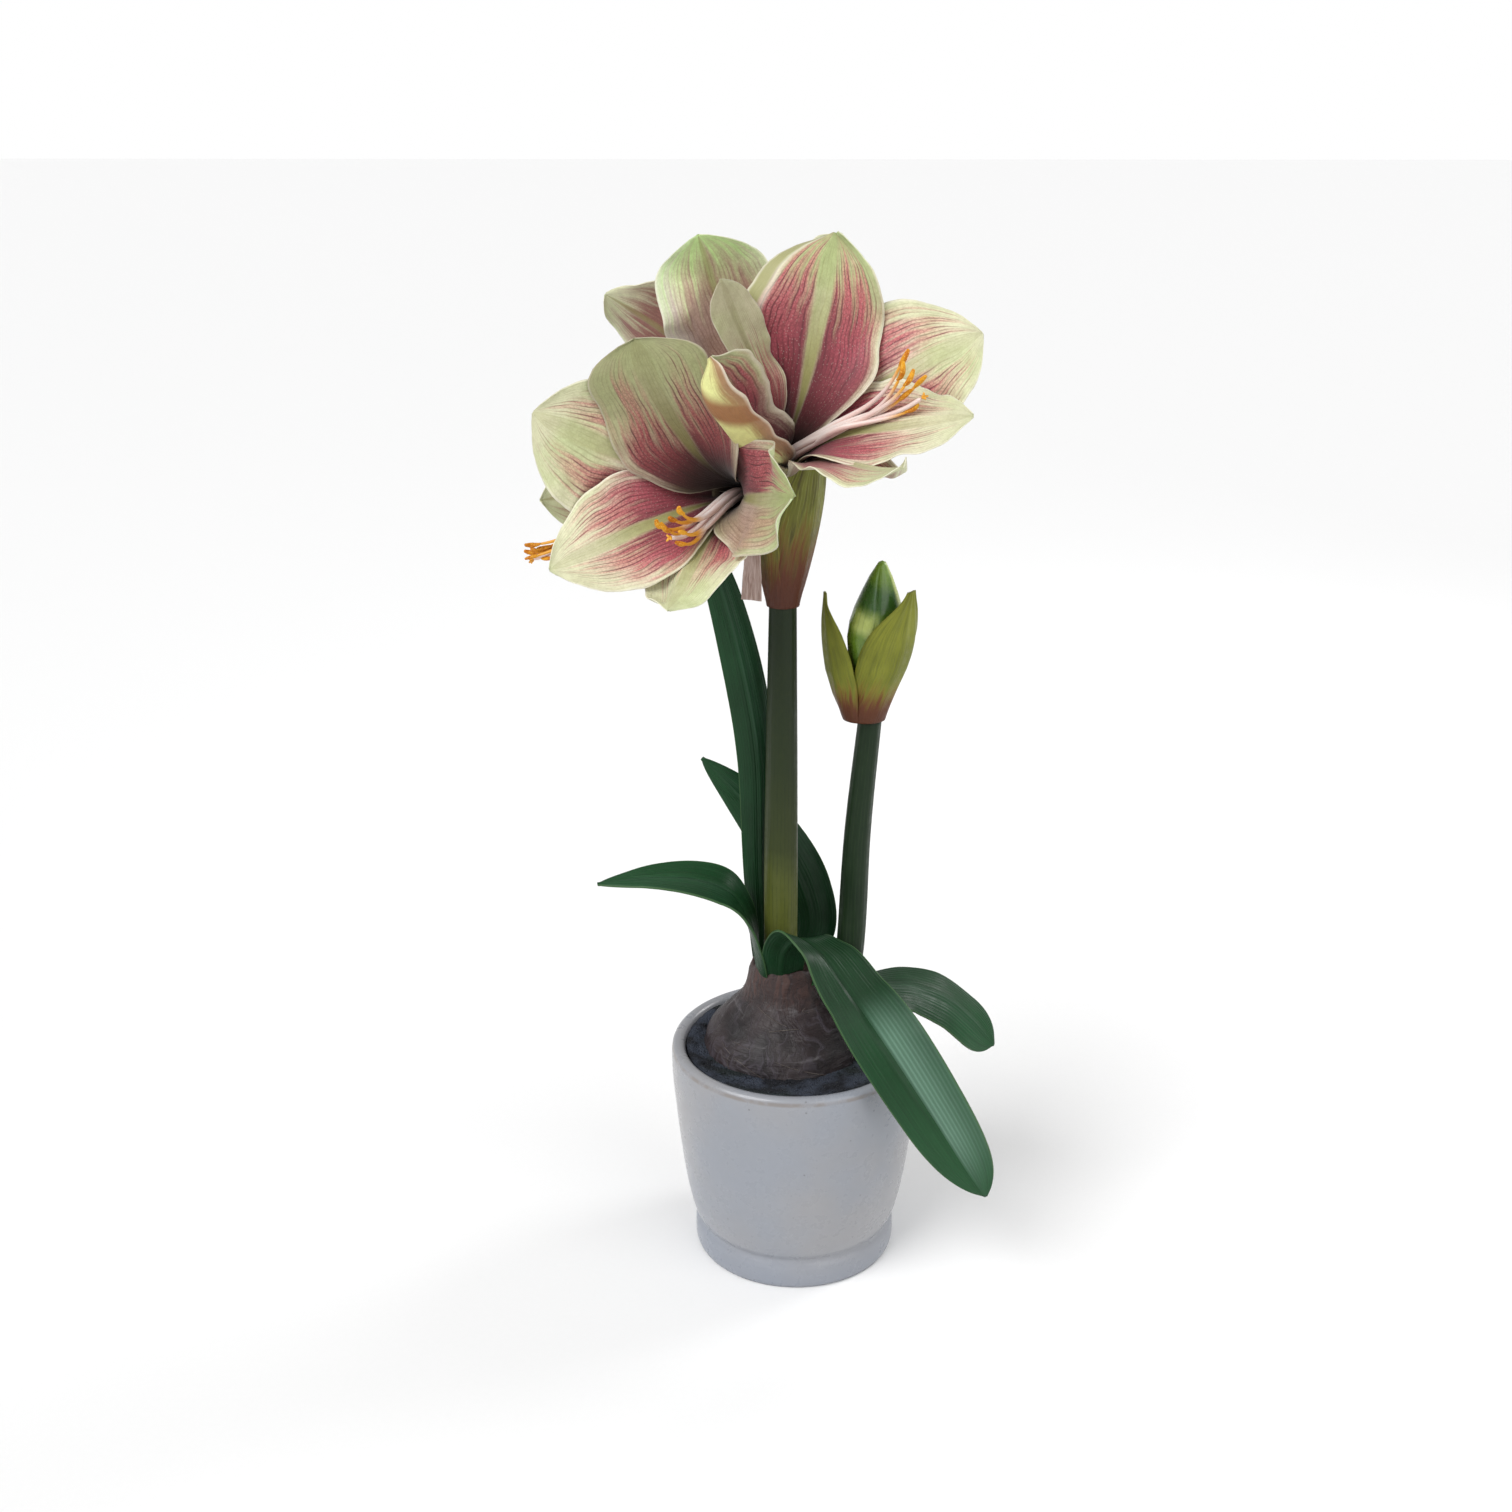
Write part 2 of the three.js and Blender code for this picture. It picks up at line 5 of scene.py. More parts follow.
import bpy
from mathutils import Vector, noise
from mathutils.bvhtree import BVHTree
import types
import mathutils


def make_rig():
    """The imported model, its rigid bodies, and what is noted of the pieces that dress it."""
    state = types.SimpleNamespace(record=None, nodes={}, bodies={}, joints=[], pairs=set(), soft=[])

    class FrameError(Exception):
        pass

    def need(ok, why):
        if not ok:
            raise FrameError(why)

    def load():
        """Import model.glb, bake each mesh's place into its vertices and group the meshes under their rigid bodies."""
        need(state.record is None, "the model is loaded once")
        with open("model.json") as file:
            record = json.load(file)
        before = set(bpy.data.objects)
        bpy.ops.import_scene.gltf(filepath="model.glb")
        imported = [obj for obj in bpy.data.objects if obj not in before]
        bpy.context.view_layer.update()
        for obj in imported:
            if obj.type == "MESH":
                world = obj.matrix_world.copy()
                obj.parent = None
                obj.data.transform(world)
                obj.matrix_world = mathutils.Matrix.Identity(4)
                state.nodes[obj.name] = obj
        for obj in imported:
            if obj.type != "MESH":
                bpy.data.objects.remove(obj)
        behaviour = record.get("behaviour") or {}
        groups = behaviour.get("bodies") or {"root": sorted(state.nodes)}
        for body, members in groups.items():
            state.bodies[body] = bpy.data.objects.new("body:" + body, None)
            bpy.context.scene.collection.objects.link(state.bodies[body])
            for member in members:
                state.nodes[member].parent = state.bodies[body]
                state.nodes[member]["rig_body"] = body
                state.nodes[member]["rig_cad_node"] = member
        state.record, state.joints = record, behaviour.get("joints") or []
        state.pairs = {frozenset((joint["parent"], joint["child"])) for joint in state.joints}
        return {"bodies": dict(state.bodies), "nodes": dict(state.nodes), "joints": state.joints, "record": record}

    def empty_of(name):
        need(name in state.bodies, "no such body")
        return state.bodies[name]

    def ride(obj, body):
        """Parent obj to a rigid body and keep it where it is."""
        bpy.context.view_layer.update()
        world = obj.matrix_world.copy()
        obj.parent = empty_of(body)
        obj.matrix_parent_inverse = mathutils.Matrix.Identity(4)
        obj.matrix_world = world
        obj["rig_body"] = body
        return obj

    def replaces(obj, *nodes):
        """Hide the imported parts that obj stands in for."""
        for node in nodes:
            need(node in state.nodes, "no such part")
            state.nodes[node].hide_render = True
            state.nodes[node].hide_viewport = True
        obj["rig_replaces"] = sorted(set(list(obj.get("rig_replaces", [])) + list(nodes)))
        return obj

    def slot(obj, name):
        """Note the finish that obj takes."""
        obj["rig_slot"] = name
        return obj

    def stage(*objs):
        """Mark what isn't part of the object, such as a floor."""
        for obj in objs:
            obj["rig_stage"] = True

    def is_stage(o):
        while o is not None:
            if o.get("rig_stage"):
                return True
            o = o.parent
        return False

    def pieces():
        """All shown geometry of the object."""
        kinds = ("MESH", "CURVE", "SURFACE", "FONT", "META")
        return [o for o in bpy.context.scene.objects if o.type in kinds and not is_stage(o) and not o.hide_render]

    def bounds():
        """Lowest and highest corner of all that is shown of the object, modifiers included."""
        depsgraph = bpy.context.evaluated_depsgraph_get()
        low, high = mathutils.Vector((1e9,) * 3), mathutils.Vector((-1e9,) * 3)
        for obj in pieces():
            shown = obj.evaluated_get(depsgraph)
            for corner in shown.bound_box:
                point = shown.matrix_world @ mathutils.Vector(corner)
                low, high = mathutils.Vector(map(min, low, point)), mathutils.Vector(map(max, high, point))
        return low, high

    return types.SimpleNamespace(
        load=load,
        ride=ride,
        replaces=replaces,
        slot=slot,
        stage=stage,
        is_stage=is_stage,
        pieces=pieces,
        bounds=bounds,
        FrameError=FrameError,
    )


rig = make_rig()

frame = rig.load()
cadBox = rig.bounds()
mm = 0.001


# small maths
def clamp01(value):
    return min(1.0, max(0.0, value))


def smooth(value):
    value = clamp01(value)
    return value * value * (3 - 2 * value)


def sample(values, s):  # value at s, 0 to 1, in a list of evenly spaced numbers or vectors
    place = min(s * (len(values) - 1), len(values) - 1.0001)
    i = int(place)
    return values[i] * (1 - (place - i)) + values[i + 1] * (place - i)


def turned(start, towards, angle):  # a direction turned towards another one square to it
    return start * math.cos(angle) + towards * math.sin(angle)


def squareTo(direction, tangent):
    return (direction - tangent * direction.dot(tangent)).normalized()


def routePoints(points, steps, pieces=600):  # even steps along a smooth curve, each with its tangent
    stops = [Vector(p) for p in points]
    ends = [stops[0] * 2 - stops[1]] + stops + [stops[-1] * 2 - stops[-2]]

    def at(t):
        i = min(int(t), len(stops) - 2)
        p0, p1, p2, p3 = ends[i:i + 4]
        d0, d1, d2 = [max(1e-4, (b - a).length ** 0.5) for a, b in ((p0, p1), (p1, p2), (p2, p3))]
        m1 = ((p1 - p0) / d0 - (p2 - p0) / (d0 + d1) + (p2 - p1) / d1) * d1
        m2 = ((p2 - p1) / d1 - (p3 - p1) / (d1 + d2) + (p3 - p2) / d2) * d1
        w = t - i
        return (p1 + m1 * w + (m1 * -2 - m2 - p1 * 3 + p2 * 3) * w * w
                + (m1 + m2 + p1 * 2 - p2 * 2) * w * w * w)

    fine = [at((len(stops) - 1) * k / pieces) for k in range(pieces + 1)]
    lengths = [0.0]
    for a, b in zip(fine, fine[1:]):
        lengths.append(lengths[-1] + (b - a).length)
    result, k = [], 0
    for i in range(steps + 1):
        target = lengths[-1] * i / steps
        while k < pieces - 1 and lengths[k + 1] < target:
            k += 1
        w = (target - lengths[k]) / max(1e-9, lengths[k + 1] - lengths[k])
        result.append((fine[k].lerp(fine[k + 1], w), (fine[k + 1] - fine[k]).normalized()))
    return result


# making pieces
def deselectAll():
    if bpy.context.object and bpy.context.object.mode != "OBJECT":
        bpy.ops.object.mode_set(mode="OBJECT")
    bpy.ops.object.select_all(action="DESELECT")


def makeActive(piece):
    deselectAll()
    piece.select_set(True)
    bpy.context.view_layer.objects.active = piece


def mergeDoubles(piece, recalculate=True):
    makeActive(piece)
    bpy.ops.object.mode_set(mode="EDIT")
    bpy.ops.mesh.select_all(action="SELECT")
    bpy.ops.mesh.remove_doubles(threshold=2e-6)
    if recalculate:
        bpy.ops.mesh.normals_make_consistent(inside=False)
    bpy.ops.object.mode_set(mode="OBJECT")


def joinPieces(name, pieces):
    makeActive(pieces[0])
    for piece in pieces:
        piece.select_set(True)
    bpy.ops.object.join()
    pieces[0].name = name
    return pieces[0]


# A grid primitive whose points go where pointAt(across, along) says, both 0 to 1, in millimetres
def sheetPiece(name, across, along, pointAt, material):
    deselectAll()
    bpy.ops.mesh.primitive_grid_add(x_subdivisions=across, y_subdivisions=along, size=1)
    piece = bpy.context.object
    piece.name = name
    places = []
    for vertex in piece.data.vertices:
        u, s = vertex.co.x + 0.5, clamp01(vertex.co.y + 0.5)
        places.append((u, s))
        vertex.co = pointAt(u, s) * mm
    uvs = piece.data.uv_layers.active.data
    for loop in piece.data.loops:
        uvs[loop.index].uv = places[loop.vertex_index]
    piece.data.materials.append(material)
    piece.data.shade_smooth()
    return piece


# A tube along a smooth route, its ends closed and rounded
def tubePiece(name, route, radii, material, sides=16, steps=24, ripple=lambda angle, s: 0):
    stations = routePoints(route, steps)
    hint = Vector((0.83, 0.31, 0.17))  # where the seam lies

    def pointAt(u, s):
        centre, tangent = stations[round(s * steps)]
        first = squareTo(hint, tangent)
        angle = 2 * math.pi * u
        radius = sample(radii, s) + ripple(angle, s) if 0 < s < 1 else 0
        return centre + turned(first, tangent.cross(first), angle) * radius

    piece = sheetPiece(name, sides, steps, pointAt, material)
    mergeDoubles(piece)
    return piece


# A disc drawn up ring by ring into a turned body
def turnedPiece(name, outline, sides, material, centre=(0, 0)):
    deselectAll()
    middle = (centre[0] * mm, centre[1] * mm, 0)
    radius, height = outline[0]
    bpy.ops.mesh.primitive_circle_add(vertices=sides, radius=radius * mm, fill_type="NGON",
                                      location=(middle[0], middle[1], height * mm))
    piece = bpy.context.object
    piece.name = name
    bpy.ops.object.transform_apply(location=True, rotation=True, scale=True)
    bpy.ops.object.mode_set(mode="EDIT")
    bpy.ops.mesh.select_all(action="SELECT")
    for nextRadius, nextHeight in outline[1:]:
        bpy.ops.mesh.extrude_region_move(
            TRANSFORM_OT_translate={"value": (0, 0, (nextHeight - height) * mm)})
        scale = nextRadius / radius
        bpy.ops.transform.resize(value=(scale, scale, 1), center_override=middle)
        radius, height = nextRadius, nextHeight
    bpy.ops.mesh.select_all(action="SELECT")
    bpy.ops.mesh.normals_make_consistent(inside=False)
    bpy.ops.object.mode_set(mode="OBJECT")
    piece.data.materials.append(material)
    piece.data.shade_smooth()
    return piece


def roundedOutline(outline, steps):  # the outline as a smooth curve in even steps
    route = [(radius, 0, height) for radius, height in outline]
    return [(point.x, point.z) for point, tangent in routePoints(route, steps)]


# A sheet made thick in its middle and thinner towards its margins
def thickenBlade(piece, thickness, margin, **settings):
    weights = piece.vertex_groups.new(name="thickness")
    uvs = piece.data.uv_layers.active.data
    for loop in piece.data.loops:
        v = abs(2 * uvs[loop.index].uv[0] - 1)
        weights.add([loop.vertex_index], 1 - (1 - margin) * v ** 3, "REPLACE")
    makeActive(piece)
    solidify = piece.modifiers.new("Solidify", "SOLIDIFY")
    settings.update(thickness=thickness * mm, offset=0, vertex_group="thickness", use_even_offset=False)
    for name, value in settings.items():
        setattr(solidify, name, value)
    bpy.ops.object.modifier_apply(modifier=solidify.name)


# A point of a blade bent to an arc, v from -1 to 1 across it
def archedPoint(centre, side, up, half, arc, v, lift):
    radius = half / arc
    return centre + side * (radius * math.sin(v * arc)) + up * (radius * (1 - math.cos(v * arc)) + lift)


def setAttributes(piece, kind, **values):
    for name, value in values.items():
        attribute = piece.data.attributes.new(name, kind, "POINT")
        for item in attribute.data:
            setattr(item, "vector" if kind == "FLOAT_VECTOR" else "value", value)


def finishPiece(piece, slot, *nodes):
    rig.ride(piece, "root")
    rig.slot(piece, slot)
    if nodes:
        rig.replaces(piece, *nodes)


# material building: a signal is what a node puts out, and arithmetic on signals adds Math nodes
class Signal:
    def __init__(self, node, output=0):
        self.node, self.socket, self.tree = node, node.outputs[output], node.id_data

    def __getitem__(self, output):  # another output of the same node
        return Signal(self.node, output)

    def __iter__(self):  # all the outputs of the same node
        return iter([self[i] for i in range(len(self.node.outputs))])

    def calc(self, operation, *others):
        return addNode(self.tree, "Math", dict(enumerate((self, *others))), operation=operation)

    def __add__(self, other):
        return self.calc("ADD", other)

    def __sub__(self, other):
        return self.calc("SUBTRACT", other)

    def __rsub__(self, other):
        return (self * -1) + other

    def __mul__(self, other):
        return self.calc("MULTIPLY", other)

    def __truediv__(self, other):
        return self.calc("DIVIDE", other)

    def __pow__(self, other):
        return self.calc("POWER", other)

    def __abs__(self):
        return self.calc("ABSOLUTE")


def addNode(tree, kind, inputs=None, **settings):
    node = tree.nodes.new("ShaderNode" + kind)
    for name, value in settings.items():
        setattr(node, name, value)
    for name, value in (inputs or {}).items():
        if isinstance(value, Signal):
            tree.links.new(value.socket, node.inputs[name])
        else:
            node.inputs[name].default_value = value
    return Signal(node)


def fade(value, start, end, low=0, high=1):  # smooth change from low to high
    return addNode(value.tree, "MapRange", {"Value": value, "From Min": start, "From Max": end, "To Min": low,
                                            "To Max": high}, interpolation_type="SMOOTHSTEP")


def vectorOf(x, y=0, z=0):
    return addNode(x.tree, "CombineXYZ", {0: x, 1: y, 2: z})


def noiseValue(vector, scale=1, detail=2, roughness=0.5, distortion=0):
    return addNode(vector.tree, "TexNoise", {"Vector": vector, "Scale": scale, "Detail": detail,
                                             "Roughness": roughness, "Distortion": distortion})


def linear(color):  # screen colour 0 to 255 as the linear colour a socket takes
    return tuple((c / 255 / 12.92) if c < 10 else ((c / 255 + 0.055) / 1.055) ** 2.4 for c in color) + (1,)


def newGroup(name, inputs, outputs, effect):  # a shared effect: numbers or vectors in, masks out
    group = bpy.data.node_groups.new(name, "ShaderNodeTree")
    for socket, kind in inputs.items():
        group.interface.new_socket(socket, in_out="INPUT", socket_type="NodeSocket" + kind)
    for socket in outputs:
        group.interface.new_socket(socket, in_out="OUTPUT", socket_type="NodeSocketFloat")
    given = Signal(group.nodes.new("NodeGroupInput"))
    results = group.nodes.new("NodeGroupOutput").inputs
    for socket, mask in zip(outputs, effect(*[given[socket] for socket in inputs])):
        group.links.new(mask.socket, results[socket])
    return group


def veinEffect(across, along, count, wander, seed):  # broken, wandering lines with soft streaks between
    drift = noiseValue(vectorOf(across * 5, along * 6, seed), 1, 1)
    spread = across * count + (drift - 0.5) * wander
    strength = noiseValue(vectorOf(spread * 1.7, along * 9, seed))
    ridge = fade(spread.calc("PINGPONG", 0.5), 0.05, 0.24, 1, 0)
    streaks = noiseValue(vectorOf(spread * 0.8, along * 3, seed + 3.7), 1, 4, 0.6)
    return ridge * fade(strength, 0.34, 0.6), streaks


def netEffect(across, along, scale, stretch, seed):  # close cells and dots, longer along than across
    place = vectorOf(across * scale, along * scale * stretch, seed)
    cells = addNode(place.tree, "TexVoronoi", {"Vector": place, "Scale": 1}, feature="DISTANCE_TO_EDGE")
    dots = addNode(place.tree, "TexVoronoi", {"Vector": place, "Scale": 1.3})
    return fade(cells, 0.02, 0.2, 1, 0), fade(dots, 0.12, 0.3, 1, 0)


def mottleEffect(vector, scale):  # cloudy change over a surface, coarse and fine
    return noiseValue(vector, scale, 3), noiseValue(vector, scale * 9, 4, 0.6)


bladePlace = {"Across": "Float", "Along": "Float"}
fineVeins = newGroup("fineVeins", {**bladePlace, "Count": "Float", "Wander": "Float", "Seed": "Float"},
                     ["Lines", "Streaks"], veinEffect)
fineNet = newGroup("fineNet", {**bladePlace, "Scale": "Float", "Stretch": "Float", "Seed": "Float"},
                   ["Cells", "Dots"], netEffect)
mottle = newGroup("mottle", {"Vector": "Vector", "Scale": "Float"}, ["Coarse", "Fine"], mottleEffect)


class Paint:  # a material whose colour is laid on in coats, each named in its look
    def __init__(self, name, look, roughness, specular, **others):
        self.material, self.look = bpy.data.materials.new(name), look
        self.material.use_nodes = True
        self.tree = self.material.node_tree
        self.shader = self.tree.nodes["Principled BSDF"].inputs
        for socket, value in dict(Roughness=roughness, Specular_IOR_Level=specular, **others).items():
            self.shader[socket.replace("_", " ")].default_value = value

    def node(self, kind, inputs=None, **settings):
        return addNode(self.tree, kind, inputs, **settings)

    def group(self, group, **inputs):
        return self.node("Group", inputs, node_tree=group)

    def attribute(self, name, output="Fac"):
        return self.node("Attribute", attribute_name=name)[output]

    def partsOf(self, vector):  # a vector's parts, or those of the vector attribute of that name
        vector = self.attribute(vector, "Vector") if isinstance(vector, str) else vector
        return self.node("SeparateXYZ", {0: vector})

    def objectPlace(self):
        return self.node("TexCoord")["Object"]

    def clouds(self, scale):  # coarse and fine
        return self.group(mottle, Vector=self.objectPlace(), Scale=scale)

    def blade(self, count, wander, seed, stretch=1):  # place across and along, lines, streaks
        u, s, depth = self.partsOf(self.node("UVMap", uv_map="UVMap"))
        veins = self.group(fineVeins, Across=u, Along=s * stretch, Count=count, Wander=wander, Seed=seed)
        return u, s, veins["Lines"], veins["Streaks"]

    def ramp(self, value, stops):
        node = self.node("ValToRGB", {0: value})
        elements = node.node.color_ramp.elements
        while len(elements) < len(stops):
            elements.new(0.5)
        for element, (position, color) in zip(elements, stops):
            element.position, element.color = position, linear(self.look[color])
        return node

    def blend(self, amount, first, second, mode="MIX"):  # colours named in the look, or made by nodes
        inputs = {6: first, 7: second}
        for socket, color in inputs.items():
            inputs[socket] = linear(self.look[color]) if isinstance(color, str) else color
        return self.node("Mix", {0: amount, **inputs}, data_type="RGBA", blend_type=mode)[2]

    def cloudedGround(self, scale, first, second, softness=0.15):  # two tones, and the clouds they follow
        coarse, fine = self.clouds(scale)
        self.color = self.blend(fade(coarse, 0.5 - softness, 0.5 + softness), first, second)
        return coarse, fine

    def coat(self, amount, color, mode="MIX"):
        self.color = self.blend(amount, self.color, color, mode)

    def finish(self, height=None, strength=0.3, distance=0.0003, roughness=None):
        self.tree.links.new(self.color.socket, self.shader["Base Color"])
        if roughness:
            self.tree.links.new(roughness.socket, self.shader["Roughness"])
        if height:
            bump = self.node("Bump", {"Height": height, "Strength": strength, "Distance": distance})
            self.tree.links.new(bump.socket, self.shader["Normal"])
        return self.material


# Petal colours, inner side and outer side
petalLook = dict(
    throat=(52, 34, 30), wine=(106, 46, 54), magenta=(166, 76, 88), rose=(200, 112, 114),
    faded=(212, 152, 138), vein=(92, 38, 46), cream=(231, 222, 198), pale=(207, 210, 168), rib=(152, 150, 94),
    green=(158, 188, 108), tipGreen=(198, 230, 154), fleck=(122, 112, 70), ribFoot=(108, 106, 56),
    outer=(206, 204, 170), outerVein=(124, 80, 74), outerFlush=(158, 108, 98), outerFoot=(98, 84, 60),
    yellow=(220, 222, 146), brown=(146, 92, 54), lavender=(196, 190, 190), rim=(240, 235, 217),
    # the tone that multiplies below darkens the pale parts in clouds, and is also the painted shade over petals that
    # sit in shadow
    flap=(164, 162, 114), dusk=(148, 128, 108), veinCount=29, netScale=46)


class PetalPaint(Paint):  # what both sides of a petal share
    def __init__(self, name):
        super().__init__(name, petalLook, 0.52, 0.35, Sheen_Weight=0.15, Sheen_Roughness=0.5)
        seed = self.attribute("petalSeed")
        self.u, self.s, self.lines, self.streaks = self.blade(petalLook["veinCount"], 2.2, seed)
        self.cells, self.dots = self.group(fineNet, Across=self.u, Along=self.s, Scale=petalLook["netScale"],
                                           Stretch=1.4, Seed=seed)
        self.side, self.push = abs(self.u * 2 - 1), self.streaks - 0.5
        self.blush, self.reach, self.green = self.partsOf("petalTone")
        self.shades = self.partsOf("petalShade")  # painted shade of the inside and of the outside, and the shift of the throat's painted shade

    def flecks(self, fine, where):  # olive netting and clouding on the pale parts
        self.coat(self.cells * where * 0.12, "fleck")
        self.coat(fade(fine, 0.4, 0.6, 0.12, 0), "dusk", "MULTIPLY")

    def margin(self, shade):  # a pale thin margin, then painted shade over the whole side where the petal sits in shadow
        self.coat(fade(self.push * 0.05 + self.side, 0.95, 0.995, 0, 0.55), "rim")
        self.coat(shade, "dusk", "MULTIPLY")


def makePetalInside():
    paint = PetalPaint("petalInside")
    u, s, side, push, lines = paint.u, paint.s, paint.side, paint.push, paint.lines
    left, right, flap = paint.partsOf("petalSides")
    blush = paint.blush * (fade(push * 0.12 + u, 0.47, 0.53) * (right - left) + left)
    past = push + s + abs(side - 0.45) ** 2 * 0.75 - paint.reach
    offRib = fade(push * 0.1 + side - (s ** 2.6 * 0.15 + 0.045), -0.02, 0.06)
    flush = fade(past, -0.26, 0.14, 1, 0) * fade(push * 0.4 + side, 0.76, 1.06, 1, 0) * offRib * blush
    coarse, fine = paint.cloudedGround(28, "cream", "pale")
    paint.coat(paint.green * fade(push * 0.4 + s, 0.45, 1), "green")
    ribColor = paint.blend(fade(s, 0.1, 0.5), "ribFoot", "rib")
    paint.coat((1 - offRib) * fade(s, 0.45, 0.9, 1, 0.25), ribColor)
    flushColor = paint.ramp(s / paint.reach, [(0.1, "throat"), (0.34, "wine"), (0.6, "magenta"),
                                              (0.84, "rose"), (1, "faded")])
    besideRib = fade(side, 0.08, 0.42, 0.75, 0) * fade(past, -0.3, 0, 1, 0)
    paint.coat(flush, paint.blend(besideRib, flushColor, "wine"))
    veinHere = fade(past, -0.12, 0.24, 1, 0) * fade(side, 0.8, 1, 1, 0) * offRib * blush
    paint.coat(lines * veinHere * 0.78, "vein")
    paint.coat(paint.cells * flush * 0.44, "wine")
    paint.coat(fade(paint.streaks, 0.5, 0.7) * flush * 0.6, "wine")
    paint.coat(paint.dots * flush * 0.16, "rim")
    paint.coat(lines * 0.22 * (1 - veinHere), "rib")
    paint.flecks(fine, 1 - flush)
    # painted shade: all colours darken deep in the throat, where little light reaches
    paint.coat(fade(push * 0.16 + s - paint.shades[2], 0.08, 0.34, 0.9, 0), "throat")
    fold, edge = flap * fade(s, 0.42, 0.6), u * 2 - 1
    paint.coat(fold * fade(edge, 0.68, 0.76, 0, 0.5), "rim")
    paint.coat(fold * fade(edge, 0.76, 0.83), "flap")
    paint.margin(paint.shades[0])
    return paint.finish(lines * -0.5 + paint.dots * 0.35 + paint.streaks, 0.45, 0.0004)


def makePetalOutside():
    paint = PetalPaint("petalOutside")
    u, s, side, push, lines = paint.u, paint.s, paint.side, paint.push, paint.lines
    coarse, fine = paint.cloudedGround(24, "outer", "cream")
    paint.coat(fade(push * 0.5 + s, 0.6, 1) * paint.green, "tipGreen")
    flush = fade(push * 0.5 + side, 0.5, 0.98, 1, 0) * fade(push * 0.6 + s, 0.66, 1, 0.9, 0) * paint.blush
    paint.coat(flush, "outerFlush")
    paint.coat(paint.cells * flush * 0.3, "outerVein")
    paint.coat(lines * fade(side, 0.7, 0.98, 1, 0.1) * fade(s, 0.6, 1, 1, 0.15) * 0.55, "outerVein")
    paint.coat(fade(side, 0.03, 0.1, 0.6, 0), "rib")
    yellow, brown, lavender = paint.partsOf("petalBack")
    paint.coat(yellow * fade(side, 0.97, 0.8), "yellow")
    patch = fade(push * 1.2 + coarse, 0.56, 0.72)
    band = fade(abs(side * 0.2 + s - 0.87), 0.04, 0.13, 0.95, 0)
    edge = fade(push * 0.5 + side, 0.66, 0.88, 0, 0.85)
    paint.coat(brown * patch.calc("MAXIMUM", band.calc("MAXIMUM", edge)), "brown")
    paint.coat(lavender * fade(push * 0.3 + u, 0.3, 0), "lavender")
    # painted shade: the outside darkens towards its foot, where the petals crowd round the throat
    paint.coat(fade(push * 0.2 + s, 0.05, 0.34, 0.9, 0), "outerFoot")
    paint.flecks(fine, 1 - flush)
    paint.margin(paint.shades[1])
    return paint.finish(lines * 0.6 + paint.dots * 0.3 + paint.streaks, 0.45, 0.0004)


# Leaf and stalk greens
def makeLeaf():
    look = dict(dark=(16, 41, 21), mid=(21, 57, 31), light=(36, 84, 48), margin=(70, 100, 62),
                foot=(13, 26, 13), sheen=(116, 150, 132), lines=22, ribs=17)
    paint = Paint("leafGreen", look, 0.36, 0.2)
    u, s, lines, streaks = paint.blade(look["lines"], 0.5, 2)
    coarse, fine = paint.cloudedGround(22, "dark", "mid", 0.2)
    paint.coat(fade(s, 0.35, 1) * 0.5, "light")
    paint.coat(fade(streaks, 0.4, 0.7) * 0.35, "dark")
    paint.coat(lines * 0.16, "light")
    # painted sheen: pale rib streaks on one half of the front leaf stand in for a reflection of the light
    paintedSheen = paint.attribute("leafSheen") * fade(u, 0.42, 0.5) * fade(s, 0.42, 0.56)
    paintedSheen *= fade((u * look["ribs"]).calc("PINGPONG", 0.5), 0.1, 0.4, 0.66, 1)
    paint.coat(paintedSheen * fade(s, 0.8, 1, 1, 0.1) * fade(u, 0.55, 0.95, 0.6, 0.25), "sheen")
    paint.coat(fade(abs(u * 2 - 1), 0.95, 0.99, 0, 0.6), "margin")
    paint.coat(fade(s, 0, 0.14, 0.8, 0), "foot")
    return paint.finish(lines * 0.8 + fine * 0.4 + streaks, roughness=fade(fine, 0.3, 0.7, 0.3, 0.44))


def makeStem():
    look = dict(foot=(92, 98, 42), low=(50, 58, 27), middle=(37, 47, 25), high=(29, 41, 23))
    paint = Paint("stemGreen", look, 0.42, 0.2)
    u, s, lines, streaks = paint.blade(26, 0.6, 5, 2)
    coarse, fine = paint.clouds(30)
    level = (coarse - 0.5) * 0.03 + paint.partsOf(paint.objectPlace())[2]
    stops = [(0, "foot"), (0.25, "low"), (0.6, "middle"), (1, "high")]
    paint.color = paint.ramp(fade(level, 0.17, 0.37), stops)
    paint.coat(lines * 0.3, "high")
    paint.coat(fade(fine, 0.45, 0.7) * 0.12, "low")
    return paint.finish(lines * 0.6 + streaks, roughness=fade(fine, 0.3, 0.7, 0.36, 0.5))


def makeBudStem():
    look = dict(dark=(20, 36, 20), mid=(28, 46, 25), light=(44, 62, 36))
    paint = Paint("budStemGreen", look, 0.42, 0.2)
    u, s, lines, streaks = paint.blade(24, 0.6, 6, 2)
    coarse, fine = paint.cloudedGround(30, "dark", "mid", 0.2)
    paint.coat(lines * 0.3, "light")
    return paint.finish(lines * 0.6 + streaks, roughness=fade(fine, 0.3, 0.7, 0.36, 0.5))


def makeBract(name, look):  # papery blades round the bases of the flowers and of the bud
    paint = Paint(name, look, 0.5, 0.25)
    u, s, lines, streaks = paint.blade(look["veins"], 1, look["seed"])
    coarse, fine = paint.cloudedGround(40, "main", "other", 0.2)
    paint.coat(fade(streaks, 0.45, 0.7) * look["streak"], "dark")
    paint.coat(lines * 0.4, "vein")
    rust = fade((streaks - 0.5) * look["ragged"] + s, look["rustFrom"], look["rustTo"], 1, 0)
    paint.coat(rust, paint.blend(fade(s, 0, look["rustTo"]), "rustFoot", "rust"))
    return paint.finish(lines * 0.8 + streaks, 0.4, 0.0004, fade(fine, 0.3, 0.7, 0.42, 0.6))


